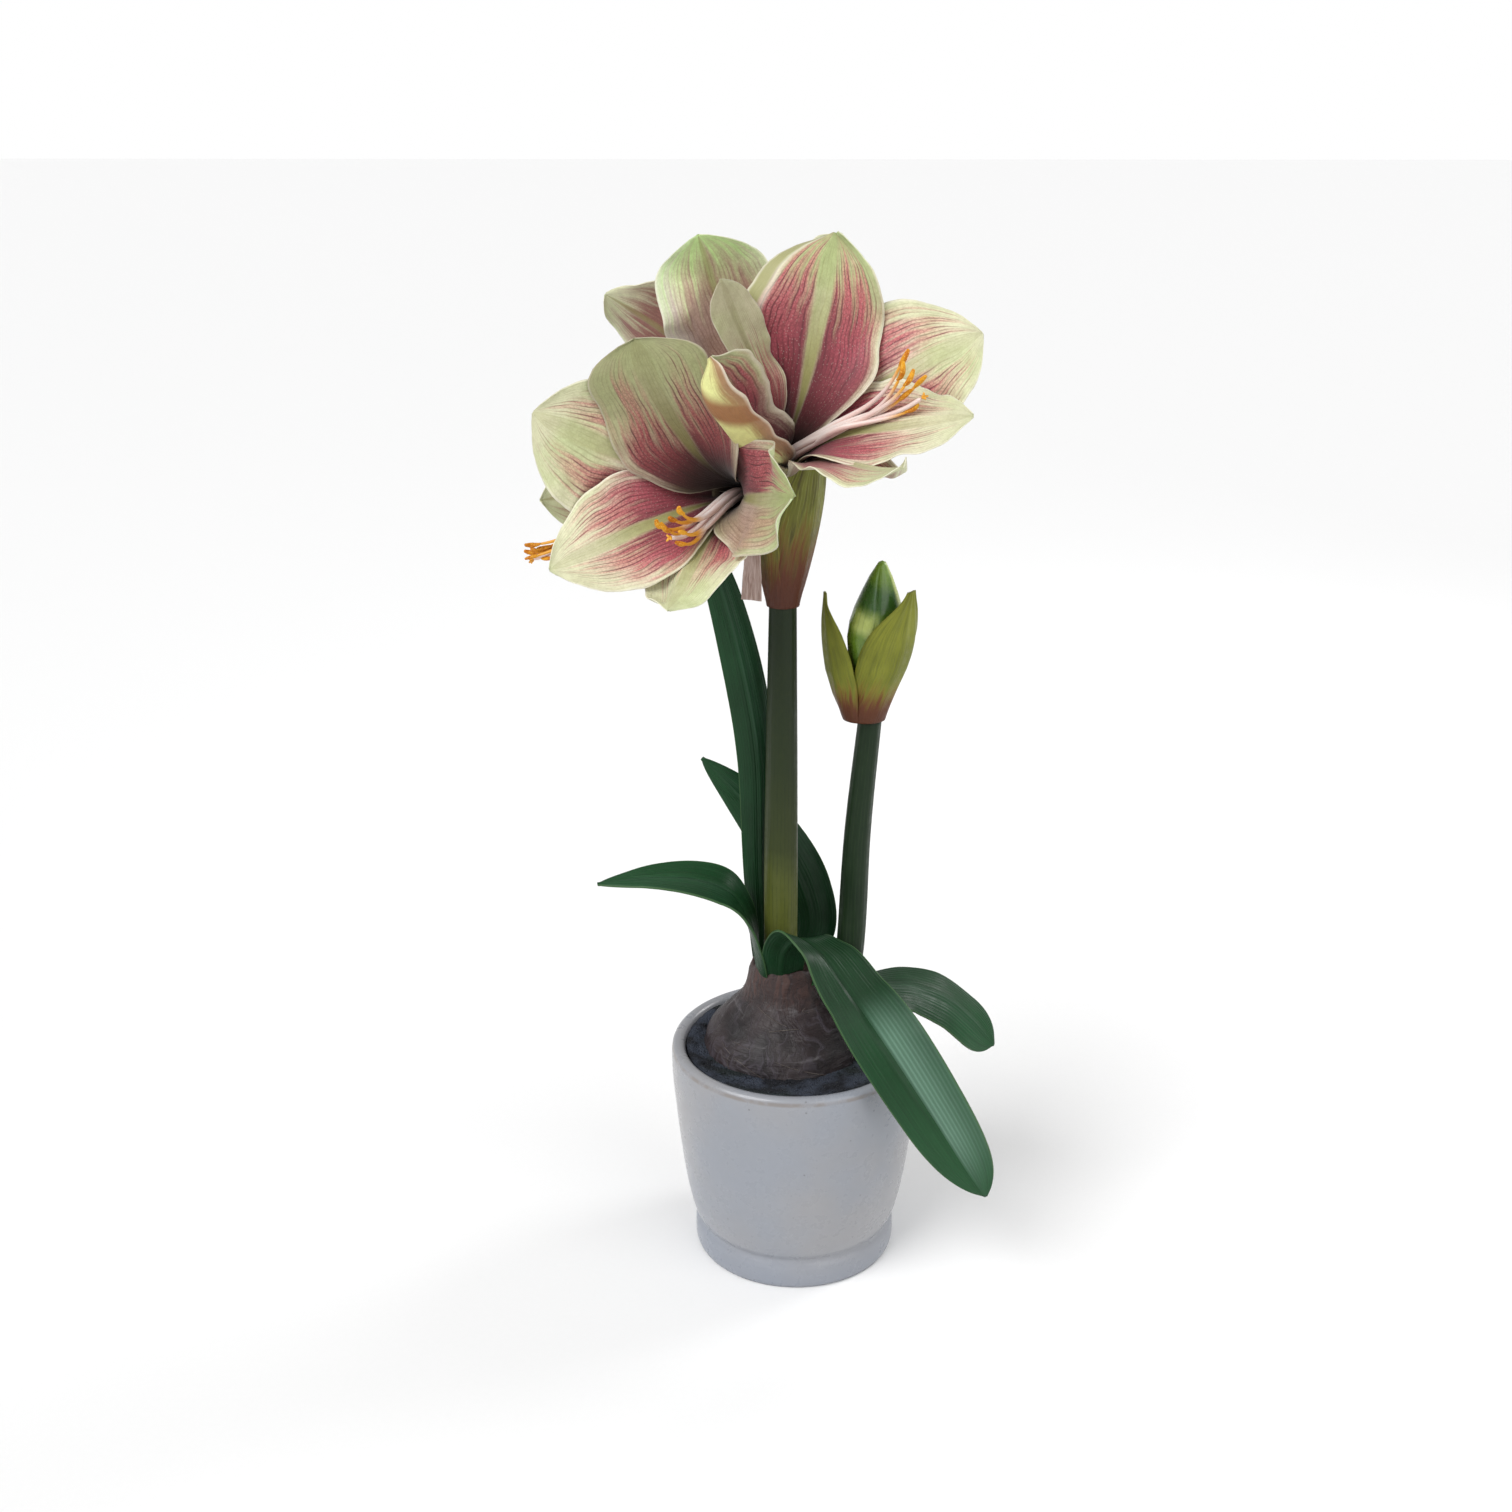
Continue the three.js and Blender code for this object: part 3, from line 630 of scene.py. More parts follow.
def makeBud():
    look = dict(light=(190, 202, 116), mid=(104, 134, 44), deep=(50, 86, 32), foot=(42, 70, 24))
    paint = Paint("budGreen", look, 0.24, 0.5)
    u, s, lines, streaks = paint.blade(30, 0.8, 11)
    coarse, fine = paint.clouds(34)
    level = (coarse - 0.5) * 0.35 + s
    stops = [(0.3, "foot"), (0.46, "mid"), (0.68, "mid"), (0.8, "deep"), (0.9, "deep"), (1, "mid")]
    paint.color = paint.ramp(level, stops)
    # painted highlight: a bright patch on one side of the bud stands in for a gloss reflection, joined by a pale
    # stripe along one edge near the top
    shine = fade(abs(u - 0.6), 0.03, 0.13, 1, 0) * fade(abs(level - 0.66), 0.04, 0.14, 1, 0)
    border = fade(abs(u - 0.9), 0.02, 0.07, 1, 0) * fade(s, 0.6, 0.75)
    paint.coat(shine.calc("MAXIMUM", border) * 0.8, "light")
    paint.coat(lines * 0.25, "deep")
    return paint.finish(lines * 0.4 + fine, 0.2, 0.0004, fade(fine, 0.3, 0.7, 0.2, 0.32))


def makeStreaked(name, look, shine, veins, amount, bump):  # two tones in streaks, with darker lines
    paint = Paint(name, look, *shine)
    u, s, lines, streaks = paint.blade(*veins)
    paint.color = paint.blend(fade(streaks, 0.3, 0.7), "main", "other")
    paint.coat(lines * amount, "line")
    return paint.finish(lines * bump[0] + streaks, *bump[1:])


def makeFilament():
    look = dict(pale=(232, 220, 214), pink=(220, 188, 180), foot=(150, 126, 104), gold=(224, 160, 54))
    paint = Paint("filamentPink", look, 0.4, 0.4)
    u, s, lines, streaks = paint.blade(4, 0.8, 17)
    paint.color = paint.blend(fade(streaks, 0.3, 0.7), "pale", "pink")
    paint.coat(fade(s, 0, 0.14, 0.5, 0), "foot")
    paint.coat(fade(s - paint.attribute("goldFrom"), -0.08, 0.08), "gold")
    return paint.finish(streaks, 0.2)


def makeDusty(name, look, shine, scale, bump):  # two tones in clouds, with dust if the look has it
    paint = Paint(name, look, *shine)
    coarse, fine = paint.cloudedGround(scale, "main", "other")
    if "dust" in look:
        paint.coat(fade(fine, 0.52, 0.7), "dust")
    return paint.finish(fine, *bump)


def makeGlaze():
    look = dict(cool=(138, 142, 150), warm=(143, 143, 146), edge=(122, 114, 108), foot=(128, 135, 148),
                speck=(92, 90, 92), edgeHeight=0.1203)
    paint = Paint("potGlaze", look, 0.3, 0.4, Coat_Weight=0.25, Coat_Roughness=0.12)
    coarse, fine = paint.cloudedGround(14, "cool", "warm")
    place = paint.objectPlace()
    x, y, z = paint.partsOf(place)
    paint.coat(fade(z, 0, 0.03, 0.6, 0), "foot")
    radius = paint.node("VectorMath", {0: vectorOf(x, y)}, operation="LENGTH")["Value"]
    line = fade(abs(z - look["edgeHeight"]), 0.0004, 0.0016, 1, 0) * fade(radius, 0.0645, 0.0655)
    paint.coat(line * fade(fine, 0.4, 0.6, 0.25, 0.7), "edge")
    specks = paint.node("TexVoronoi", {"Vector": place, "Scale": 170})
    rare = paint.node("SeparateColor", {0: specks["Color"]})
    paint.coat(fade(specks["Distance"], 0.06, 0.13, 1, 0) * fade(rare, 0.82, 0.86) * 0.6, "speck")
    return paint.finish(fine * 0.2 + coarse, 0.06, 0.0012, fade(fine, 0.3, 0.7, 0.24, 0.36))


def makeSoil():
    look = dict(dark=(22, 24, 30), blue=(52, 58, 70), moss=(34, 48, 38), grit=(96, 98, 104))
    paint = Paint("pottingSoil", look, 0.85, 0.3)
    coarse, fine = paint.cloudedGround(90, "dark", "blue")
    paint.coat(fade(paint.clouds(18)["Coarse"], 0.5, 0.7, 0, 0.7), "moss")
    grains = paint.node("TexVoronoi", {"Vector": paint.objectPlace(), "Scale": 900})["Distance"]
    paint.coat(fade(grains, 0.1, 0.3, 0.35, 0), "grit")
    return paint.finish(fine + grains, 0.8, 0.001)


def makeTunic():
    look = dict(dark=(22, 18, 20), brown=(46, 36, 37), purple=(78, 72, 80), fibre=(108, 104, 106),
                rust=(74, 51, 45))
    paint = Paint("bulbTunic", look, 0.5, 0.4)
    fromCentre = {"Vector": paint.objectPlace(), "Location": (0.006, -0.005, 0)}
    x, y, z = paint.partsOf(paint.node("Mapping", fromCentre))
    coarse, fine = paint.cloudedGround(34, "dark", "brown")
    sweep = coarse * 1.6 + y.calc("ARCTAN2", x) * 0.9
    streaks = noiseValue(vectorOf(sweep * 9, z * 60, 1.3), 1, 6, 0.65, 0.6)
    folds = noiseValue(vectorOf(sweep * 1.6, z * 260, 4.1), 1, 5, 0.6, 0.3)
    paint.coat(fade(streaks, 0.5, 0.68, 0, 0.6), "purple")
    paint.coat(fade(folds, 0.58, 0.74, 0, 0.6), "fibre")
    neck = fade((fine - 0.5) * 0.02 + z, 0.144, 0.158)
    paint.coat(neck * fade(streaks, 0.42, 0.62, 0.2, 0.9), "rust")
    return paint.finish(streaks + folds, 0.7, 0.0012, fade(streaks, 0.3, 0.7, 0.4, 0.62))


petalInside, petalOutside = makePetalInside(), makePetalOutside()
leafGreen, stemGreen, budStemGreen = makeLeaf(), makeStem(), makeBudStem()
pedicelGreen = makeStreaked(
    "pedicelGreen", dict(main=(120, 128, 66), other=(70, 78, 40), line=(96, 62, 44)),
    shine=(0.45, 0.4), veins=(12, 0.6, 8), amount=0.5, bump=(0, 0.3, 0.0004))
witheredPaper = makeStreaked(
    "witheredPaper", dict(main=(184, 164, 156), other=(140, 116, 106), line=(112, 88, 80)),
    shine=(0.75, 0.25), veins=(9, 1.2, 14), amount=0.35, bump=(0.4, 0.25, 0.0005))
spathePaper = makeBract("spathePaper", dict(
    main=(94, 98, 34), other=(110, 112, 42), dark=(62, 54, 26), streak=0.8, vein=(136, 136, 66),
    rust=(104, 56, 28), rustFoot=(76, 40, 26), ragged=0.8, rustFrom=0.2, rustTo=0.66, veins=26, seed=23.4))
budBractPaper = makeBract("budBractPaper", dict(
    main=(108, 112, 32), other=(128, 132, 44), dark=(80, 86, 28), streak=0.5, vein=(92, 98, 36),
    rust=(116, 66, 34), rustFoot=(80, 44, 26), ragged=0.55, rustFrom=0.1, rustTo=0.38, veins=30, seed=27))
antherGold = makeDusty("antherGold", dict(main=(226, 160, 36), other=(192, 110, 18), dust=(240, 196, 90)),
                       shine=(0.7, 0.3), scale=160, bump=(0.7, 0.0006))
bulbFibre = makeDusty("bulbFibre", dict(main=(104, 97, 91), other=(68, 58, 54)),
                      shine=(0.6, 0.3), scale=120, bump=(0.5, 0.0004))
budGreen, filamentPink = makeBud(), makeFilament()
potGlaze, pottingSoil, bulbTunic = makeGlaze(), makeSoil(), makeTunic()
print("materials made")

# Pot
pot = dict(
    sides=128, steps=150, foot=[(50, 1.2), (51, 0)], radius=67, oval=0.22, wobble=0.16,
    outline=[(53, 0.1), (54.6, 0.7), (55.3, 3), (55.4, 9), (54.9, 13.6), (53.3, 16), (53.6, 17.6), (55.7, 21),
             (58.6, 32), (61.4, 48), (63.8, 68), (65.8, 88), (67.1, 103), (67.5, 112), (67.4, 118), (67, 121),
             (66, 122.7), (64.4, 123.3), (62.4, 123.1), (60.9, 122), (60.2, 120), (59.7, 118), (56.2, 78),
             (52.4, 45), (47.5, 20), (41, 9), (20, 8)])
potOutline = pot["foot"] + roundedOutline(pot["outline"], pot["steps"])
piece = turnedPiece("glazed_pot", potOutline, pot["sides"], potGlaze)
for vertex in piece.data.vertices:  # a thrown pot is never quite round
    angle, height = math.atan2(vertex.co.y, vertex.co.x), vertex.co.z / mm
    wave = pot["oval"] * math.sin(2 * angle + 0.7) + pot["wobble"] * math.sin(3 * angle + height * 0.02)
    share = wave / pot["radius"] * smooth(height / 40)
    vertex.co.x *= 1 + share
    vertex.co.y *= 1 + share
finishPiece(piece, "pot_glaze", "pot")
print("pot made")

# Bulb sizes, which the soil's crumbs keep clear of
bulb = dict(
    centre=(-6, 5), sides=160, steps=110, fibres=14, fibreSize=(0.1, 0.22), seed=7,
    outline=[(38, 98), (44, 104), (44.9, 111), (44.2, 118), (41, 128), (35.5, 135), (29.5, 141), (24.4, 147),
             (21.2, 153.5), (19.8, 161), (18.6, 166), (17.2, 168.2), (15.6, 167), (14.6, 164), (4, 160)])

# Potting soil that rises a little at the wall, with loose crumbs
soil = dict(
    sides=160, top=119, rise=1.7, hollows=0.9, roughness=0.7, crumbs=900, crumbSize=(0.35, 1.1),
    crumbTop=119.1, crumbRise=1.6, crumbSpread=57.6, bulbGap=44.2, seed=41,
    wall=[(40.4, 9.6), (46.5, 20.5), (51.4, 45), (55.3, 78), (58.4, 112), (59.2, 117)])
soilTop = [(59.5 - 0.9 * k, soil["top"] + soil["rise"] * smooth((11 - k) / 10)) for k in range(52)]
soilBody = turnedPiece("soil_body", soil["wall"] + soilTop, soil["sides"], pottingSoil)


def soilHollow(x, y):
    return soil["hollows"] * noise.noise(Vector((x, y, 3)) * 0.07)


for vertex in soilBody.data.vertices:
    x, y, z = vertex.co / mm
    if z > soil["top"] - 1.5:
        rough = noise.fractal(Vector((x, y, 0)) * 0.35, 0.8, 2.0, 4)
        vertex.co.z += (soilHollow(x, y) + soil["roughness"] * rough) * mm
crumbs = []
scatter = random.Random(soil["seed"])
deselectAll()
bpy.ops.mesh.primitive_ico_sphere_add(subdivisions=1, radius=mm)
crumb = bpy.context.object
for k in range(soil["crumbs"]):
    radius = soil["crumbSpread"] * math.sqrt(scatter.uniform(0.25, 1))
    angle = scatter.uniform(0, 2 * math.pi)
    x, y = radius * math.cos(angle), radius * math.sin(angle)
    size = scatter.uniform(*soil["crumbSize"]) * scatter.uniform(0.6, 1)
    shape = Vector((scatter.uniform(0.6, 1.2), scatter.uniform(0.6, 1.2), scatter.uniform(0.5, 0.9)))
    if (Vector((x, y)) - Vector(bulb["centre"])).length < soil["bulbGap"]:
        continue
    height = soil["crumbTop"] + soilHollow(x, y) + soil["crumbRise"] * smooth((radius - 49) / 9)
    copy = crumb.copy()
    copy.data = crumb.data.copy()
    bpy.context.collection.objects.link(copy)
    for vertex in copy.data.vertices:
        bend = 1 + 0.3 * noise.noise(vertex.co * 900 + Vector((k, 0, 0)))
        vertex.co = vertex.co * shape * size * bend + Vector((x, y, height)) * mm
    copy.data.materials.append(pottingSoil)
    crumbs.append(copy)
bpy.data.objects.remove(crumb)
finishPiece(joinPieces("potting_soil_bed", [soilBody] + crumbs), "potting_soil", "soil")
print("soil made with", len(crumbs), "crumbs")

# Bulb: folded papery skin with a ragged neck and loose fibres
bulbX, bulbY = bulb["centre"]
bulbOutline = roundedOutline(bulb["outline"], bulb["steps"])
bulbBody = turnedPiece("bulb_body", bulbOutline, bulb["sides"], bulbTunic, bulb["centre"])
for vertex in bulbBody.data.vertices:
    angle, z = math.atan2(vertex.co.y / mm - bulbY, vertex.co.x / mm - bulbX), vertex.co.z / mm
    around = Vector((math.cos(angle), math.sin(angle), 0))
    drift = Vector((0, 0, z * 0.05 + 0.5 * math.sin(angle * 2)))
    fold = noise.ridged_multi_fractal(around * 1.3 + drift, 1, 2, 4, 1, 2)
    fine = noise.fractal(around * 7 + Vector((0, 0, z * 0.22)), 0.8, 2.0, 4)
    rag = noise.noise(around * 4 + Vector((0, 0, 9)))
    share = (0.55 * (fold - 1.1) + 0.35 * fine) * smooth((z - 100) / 8) * (1 - 0.3 * smooth((z - 150) / 10))
    vertex.co.x += around.x * share * mm
    vertex.co.y += around.y * share * mm
    if z > 160:
        vertex.co.z += rag * 2.2 * smooth((z - 160) / 7) * mm


def bulbRadius(height):  # outside radius of the bulb at a height
    line = bulb["outline"][1:12]
    for (r0, z0), (r1, z1) in zip(line, line[1:]):
        if z0 <= height <= z1:
            return r0 + (r1 - r0) * (height - z0) / (z1 - z0)


fibres = []
strands = random.Random(bulb["seed"])
for k in range(bulb["fibres"]):
    startAngle, startHeight = strands.uniform(0, 2 * math.pi), strands.uniform(118, 150)
    sweep, drop = strands.uniform(-1.1, 1.1), strands.uniform(-16, 10)
    bow = strands.uniform(-0.15, 0.15)
    route = []
    for t in [step / 7 for step in range(8)]:
        angle = startAngle + sweep * t + bow * math.sin(math.pi * t)
        height = min(160, max(112, startHeight + drop * t + 1.2 * math.sin(2 * t + k)))
        radius = bulbRadius(height) + 0.5 + 0.2 * math.sin(3 * t + k)
        route.append((bulbX + radius * math.cos(angle), bulbY + radius * math.sin(angle), height))
    size = strands.uniform(*bulb["fibreSize"])
    fibres.append(tubePiece("fibre", route, [size * 0.5, size, size, size * 0.6], bulbFibre, 5, 24))
finishPiece(joinPieces("bulb_tunic", [bulbBody] + fibres), "bulb_skin", "bulb")
print("bulb made")

# Stems
stems = dict(
    flower_stem=dict(route=[(-8.4, 4, 146), (-8.5, 4, 250), (-8.2, 4, 373)], radii=[9, 8.8, 8, 7],
                     material=stemGreen),
    bud_stem=dict(route=[(22, 19, 96), (25, 18, 140), (29, 16, 168), (32, 14, 240), (37.3, 12, 306)],
                  radii=[7.4, 7.6, 7.4, 6.8, 6.2], material=budStemGreen))
for name, stem in stems.items():
    piece = tubePiece("tall_" + name, stem["route"], stem["radii"], stem["material"], 48, 90,
                      lambda angle, s: 0.1 * math.sin(9 * angle) + 0.12 * math.sin(2 * angle + 5 * s))
    finishPiece(piece, "stem_green", name)
print("stems made")

# Leaves: the middle line, the directions the blade spreads in, width, arc of the section, width profile
leaves = dict(
    tall=dict(
        route=[(-16.4, 14, 150), (-18, 15.5, 175), (-19.4, 14.5, 212), (-20.8, 13.5, 281), (-26.4, 13, 319),
               (-37.6, 13, 366), (-50, 14, 402), (-56, 14, 427)],
        spread=[(0.85, 0.6, 0), (1, 0.4, 0), (1, 0.3, 0), (1, 0.3, 0.3)],
        width=22, cup=[50, 30, 15], base=0.5, peak=0.5, blunt=2.3, crease=0.5),
    back=dict(
        route=[(-1.5, 16.2, 150), (2.5, 20, 164), (7.5, 23.6, 180), (3.5, 26, 199), (-10.5, 27.5, 227),
               (-30, 28, 253), (-51, 28, 275)],
        spread=[(0.8, -0.5, 0), (1, 0, 0), (1, 0, 0.7), (0.7, 0, 1)],
        width=32, cup=[45, 20, 10], base=0.6, peak=0.42, blunt=1.8, crease=0.4),
    left=dict(
        route=[(-18.8, -3.4, 150), (-20.4, -4.6, 170), (-26, -5.4, 197), (-36, -5.4, 212), (-52, -5, 218.5),
               (-77, -5, 219.5), (-105, -6, 216)],
        spread=[(0.5, -1, 0.1), (0.1, -1, -0.3), (0.1, -1, -0.5), (0, -1, -0.35), (0, -1, -0.3)],
        width=27, cup=[40, 15, 10], base=0.4, peak=0.5, blunt=1.6, crease=0.5),
    front=dict(
        route=[(-6.2, -8.8, 150), (-6.4, -11, 166), (-4.6, -17, 184), (2.6, -25, 194.5), (15, -36, 191),
               (29, -47, 176), (46, -57.5, 155), (67, -68, 125), (99.5, -68, 69)],
        spread=[(1, 0.1, 0), (1, 0.2, -0.1), (1, 0.3, -0.35), (0.95, 0.35, -0.1), (0.9, 0.1, 0.3),
                (0.9, -0.1, 0.42), (0.9, -0.2, 0.4), (0.9, -0.2, 0.4)],
        width=38, cup=[45, 20, 3, 6, 8, 6], base=0.46, peak=0.6, blunt=4.4, crease=1.3, creaseAt=-0.12,
        sheen=1),
    right=dict(
        route=[(4.2, 0.8, 150), (7, 0.4, 161), (16, -2, 166), (29, -4.5, 160), (46, 2, 154), (64, 10, 149),
               (82, 14, 140), (97, 16, 126), (110, 18, 110)],
        spread=[(-0.1, -1, 0), (-0.1, -1, 0), (0.1, -1, 0), (0.3, -1, -0.3), (0.2, -1, -0.6), (0, -1, -0.65),
                (-0.4, -0.9, -0.65)],
        width=36, cup=[45, 15, 10], base=0.4, peak=0.66, blunt=4.5, crease=0.5))
blade = dict(thickness=2, margin=0.55, ribs=17, ribHeight=0.055, creaseWidth=0.11, across=84, along=110)


def leafWidth(s, leaf):
    if s < leaf["peak"]:
        return leaf["base"] + (1 - leaf["base"]) * math.sin(math.pi / 2 * s / leaf["peak"])
    return max(0.02, 1 - ((s - leaf["peak"]) / (1 - leaf["peak"])) ** leaf["blunt"]) ** 0.75


def ribbonPoint(leaf, widthAt, along):
    stations = routePoints(leaf["route"], along)
    hints = [Vector(h) for h in leaf["spread"]]

    def pointAt(u, s):
        centre, tangent = stations[round(s * along)]
        side = squareTo(sample(hints, s), tangent)
        v = 2 * u - 1
        away = (v - leaf.get("creaseAt", 0)) / blade["creaseWidth"]
        lift = blade["ribHeight"] * math.cos(2 * math.pi * blade["ribs"] * u) * smooth(s / 0.1) \
            * smooth((1 - s) / 0.08)
        lift -= leaf["crease"] * math.exp(-away ** 2) * smooth(s / 0.2) * smooth((1 - s) / 0.25)
        lift += 0.5 * v * v * noise.noise(Vector((v, s * 7, leaf["width"]))) * smooth(s / 0.3)
        return archedPoint(centre, side, tangent.cross(side), leaf["width"] / 2 * widthAt(s),
                           math.radians(sample(leaf["cup"], s)), v, lift)

    return pointAt


for name, leaf in leaves.items():
    piece = sheetPiece("strap_leaf_" + name, blade["across"], blade["along"],
                       ribbonPoint(leaf, lambda s: leafWidth(s, leaf), blade["along"]), leafGreen)
    # leafSheen is how much painted sheen a leaf takes; the front leaf takes it fully
    setAttributes(piece, "FLOAT", leafSheen=leaf.get("sheen", 0.1))
    thickenBlade(piece, blade["thickness"], blade["margin"])
    finishPiece(piece, "leaf_green", "leaf_" + name)
print("leaves made")

# Blooms
# shade is painted shade: how far the inside and the outside of a petal in shadow are darkened, and the shift of the
# throat's painted shade
petalForm = dict(
    length=105, width=54, opening=45, curl=8, bend=0, cup=22, tipCup=5, ruffle=2.5, waves=2.6, phase=0,
    widest=0.58, blunt=2.3, blush=1, reach=0.84, green=0.3, back=(0, 0, 0), roll=(0, 0), flare=(0, 0),
    sides=(1, 1, 0), shade=(0, 0.2, 0))
bloomForm = dict(
    throatLength=21, throatRadii=[5.9, 6.9, 8, 9.3], throatThickness=0.7, petalRadii=(3.3, 5.6), lean=12,
    thickness=0.9, margin=0.45, across=36, along=76, ribDepth=0.7, edgeWave=1.6, stemTop=373,
    pedicelRadii=[2.6, 2.6, 2.8, 3, 3.1, 3.3, 4.6, 5.6, 5.8])
tuck = dict(gap=1.3, deepest=9, most=8, order=[(1, 0), (1, 2), (3, 2), (3, 4), (5, 4), (5, 0)])
across, along = bloomForm["across"], bloomForm["along"]


def petal(azimuth, *sizes, **others):  # the petal's form where it differs: length, width, opening, curl first
    return {**petalForm, "azimuth": azimuth, **dict(zip(petalForm, sizes)), **others}


blooms = dict(
    bloom_right=dict(
        base=(-10.8, -4, 434), axis=(0.23, -0.73, 0.65), root=(-6.6, 0.1), via=(-8, 1, 404),
        stamens=dict(azimuth=-106, opening=31, length=98, sag=3, gold=0.9, fan=4, lift=19),
        order=[(1, 0), (1, 2), (3, 2), (3, 4), (5, 4), (0, 5)],
        petals=[
            petal(-17, 121, 62, 52, 14, bend=2, cup=18, tipCup=6, blunt=2.6, reach=0.96, green=0.6,
                  roll=(3, -4), flare=(0, 0.24), sides=(1, 1, 1), shade=(0.1, 0, 0.08)),
            petal(-77, 124, 68, 54, 18, bend=-1, cup=14, blunt=3.2, reach=0.86),
            petal(-117, 117, 48, 49, 6, bend=6, cup=14, phase=0.3, reach=0.78),
            petal(204, 106, 42, 43, -14, bend=4, cup=26, phase=0.6, blush=0.9),
            petal(97, reach=1.1, ruffle=1.7, back=(0.9, 1, 0), shade=(0.3, 0, 0),
                  near=[(-14.2, -7.5, 431.3), (-2.2, -29, 448.5), (-9.5, -48, 459.8), (-21, -64, 475),
                        (-31.2, -73, 488.8), (-38.2, -73, 501.3)],
                  fold=[(-15.9, -6.3, 433.3), (-13.5, -20, 442.6), (-25.7, -40, 451), (-35.6, -57, 466.8),
                        (-43.1, -66, 480.7), (-44.3, -67, 494)],
                  far=[(-16.2, -4.4, 435.5), (-0.3, -14, 456.9), (-12.1, -28, 470.8), (-15.1, -42, 485.3),
                       (-22.1, -53, 497.4), (-34.1, -66, 502.6)]),
            petal(36, 106, 25, 49, -5, bend=-2, phase=0.2, blunt=7, reach=0.62, shade=(0.5, 0.3, 0))]),
    bloom_left=dict(
        base=(-25.7, 4, 423), axis=(-0.39, -0.91, 0.16), root=(-12.4, 2.5), via=(-14, 8, 404),
        stamens=dict(azimuth=171, opening=15, length=79, sag=10, gold=0.74, fan=6, lift=7),
        order=[(2, 0), (1, 0), (1, 2), (3, 2), (3, 4), (5, 4), (5, 0)],
        petals=[
            petal(19, 116, 62, 48, 34, bend=-2, cup=12, tipCup=0, blunt=8, phase=0.4, reach=0.76, green=0.4,
                  shade=(0.6, 0.2, 0.2)),
            petal(67, 120, 70, 54, 16, bend=-2, cup=12, blunt=3.2, reach=0.78, blush=0.95,
                  shade=(0.1, 0, 0.08)),
            petal(123, 115, 56, 51, 14, cup=12, phase=0.5, reach=0.82, shade=(0, 0, 0.05)),
            petal(179, 97, 54, 39, -5, bend=4, cup=26, ruffle=3, reach=0.72),
            petal(-95, 96, 56, 47, 5, bend=13, cup=24, phase=0.1, reach=0.9, ruffle=4.6, waves=3.3, green=0.7,
                  sides=(0.45, 1.3, 0), shade=(0.3, 0, 0.14)),
            petal(-38, 46, 32, 30, 0, cup=30, ruffle=0.5, blush=0.3, shade=(1, 0.8, 0))]),
    bloom_back_right=dict(
        base=(-18, 32, 443), axis=(-0.3, 0.53, 0.8), root=(-4.6, 6.6), via=(-7, 21, 404),
        stamens=dict(azimuth=180, opening=10, length=84, sag=2, gold=0.8, fan=5, lift=8),
        petals=[
            petal(-85, 109, 62, 48, 11, bend=1, cup=16, blunt=3.4, blush=1.4, shade=(0, 0, 0)),
            petal(-32, 108, 60, 49, 13, bend=2, cup=18, blunt=3.6, green=1, blush=0.85, back=(0, 0, 0.4),
                  shade=(0, 0, 0)),
            petal(20, 86, 48, 24, 0),
            petal(58, 116, 62, 46, 11, bend=-5, cup=18),
            petal(125, 104, 52, 40, 16), petal(-148, 104, 56, 40, 12)]),
    bloom_back_left=dict(
        base=(-48, 22, 424), axis=(-0.8, 0.55, -0.15), root=(-10.4, 7.7), via=(-18, 20, 403),
        stamens=dict(azimuth=-126, opening=32, length=102, sag=3, gold=0.5, fan=3, lift=5),
        petals=[
            petal(-88, 84, 46, 46, 4), petal(-28, 80, 52, 36, 6), petal(32, 88, 48, 42, 12),
            petal(92, 92, 54, 46, 20), petal(152, 90, 48, 44, 14), petal(-148, 84, 52, 44, 4)]))


class BloomFrame:
    def __init__(self, spec):
        self.base = Vector(spec["base"])
        self.axis = Vector(spec["axis"]).normalized()
        self.up = squareTo(Vector((0, 0, 1)), self.axis)
        self.side = self.axis.cross(self.up)

    def around(self, azimuth):
        return turned(self.up, self.side, math.radians(azimuth))


def petalWidth(s, form):
    if s < form["widest"]:
        return 0.1 + 0.9 * math.sin(math.pi / 2 * s / form["widest"]) ** 2.3
    return max(0.012, 1 - ((s - form["widest"]) / (1 - form["widest"])) ** form["blunt"]) ** 0.85


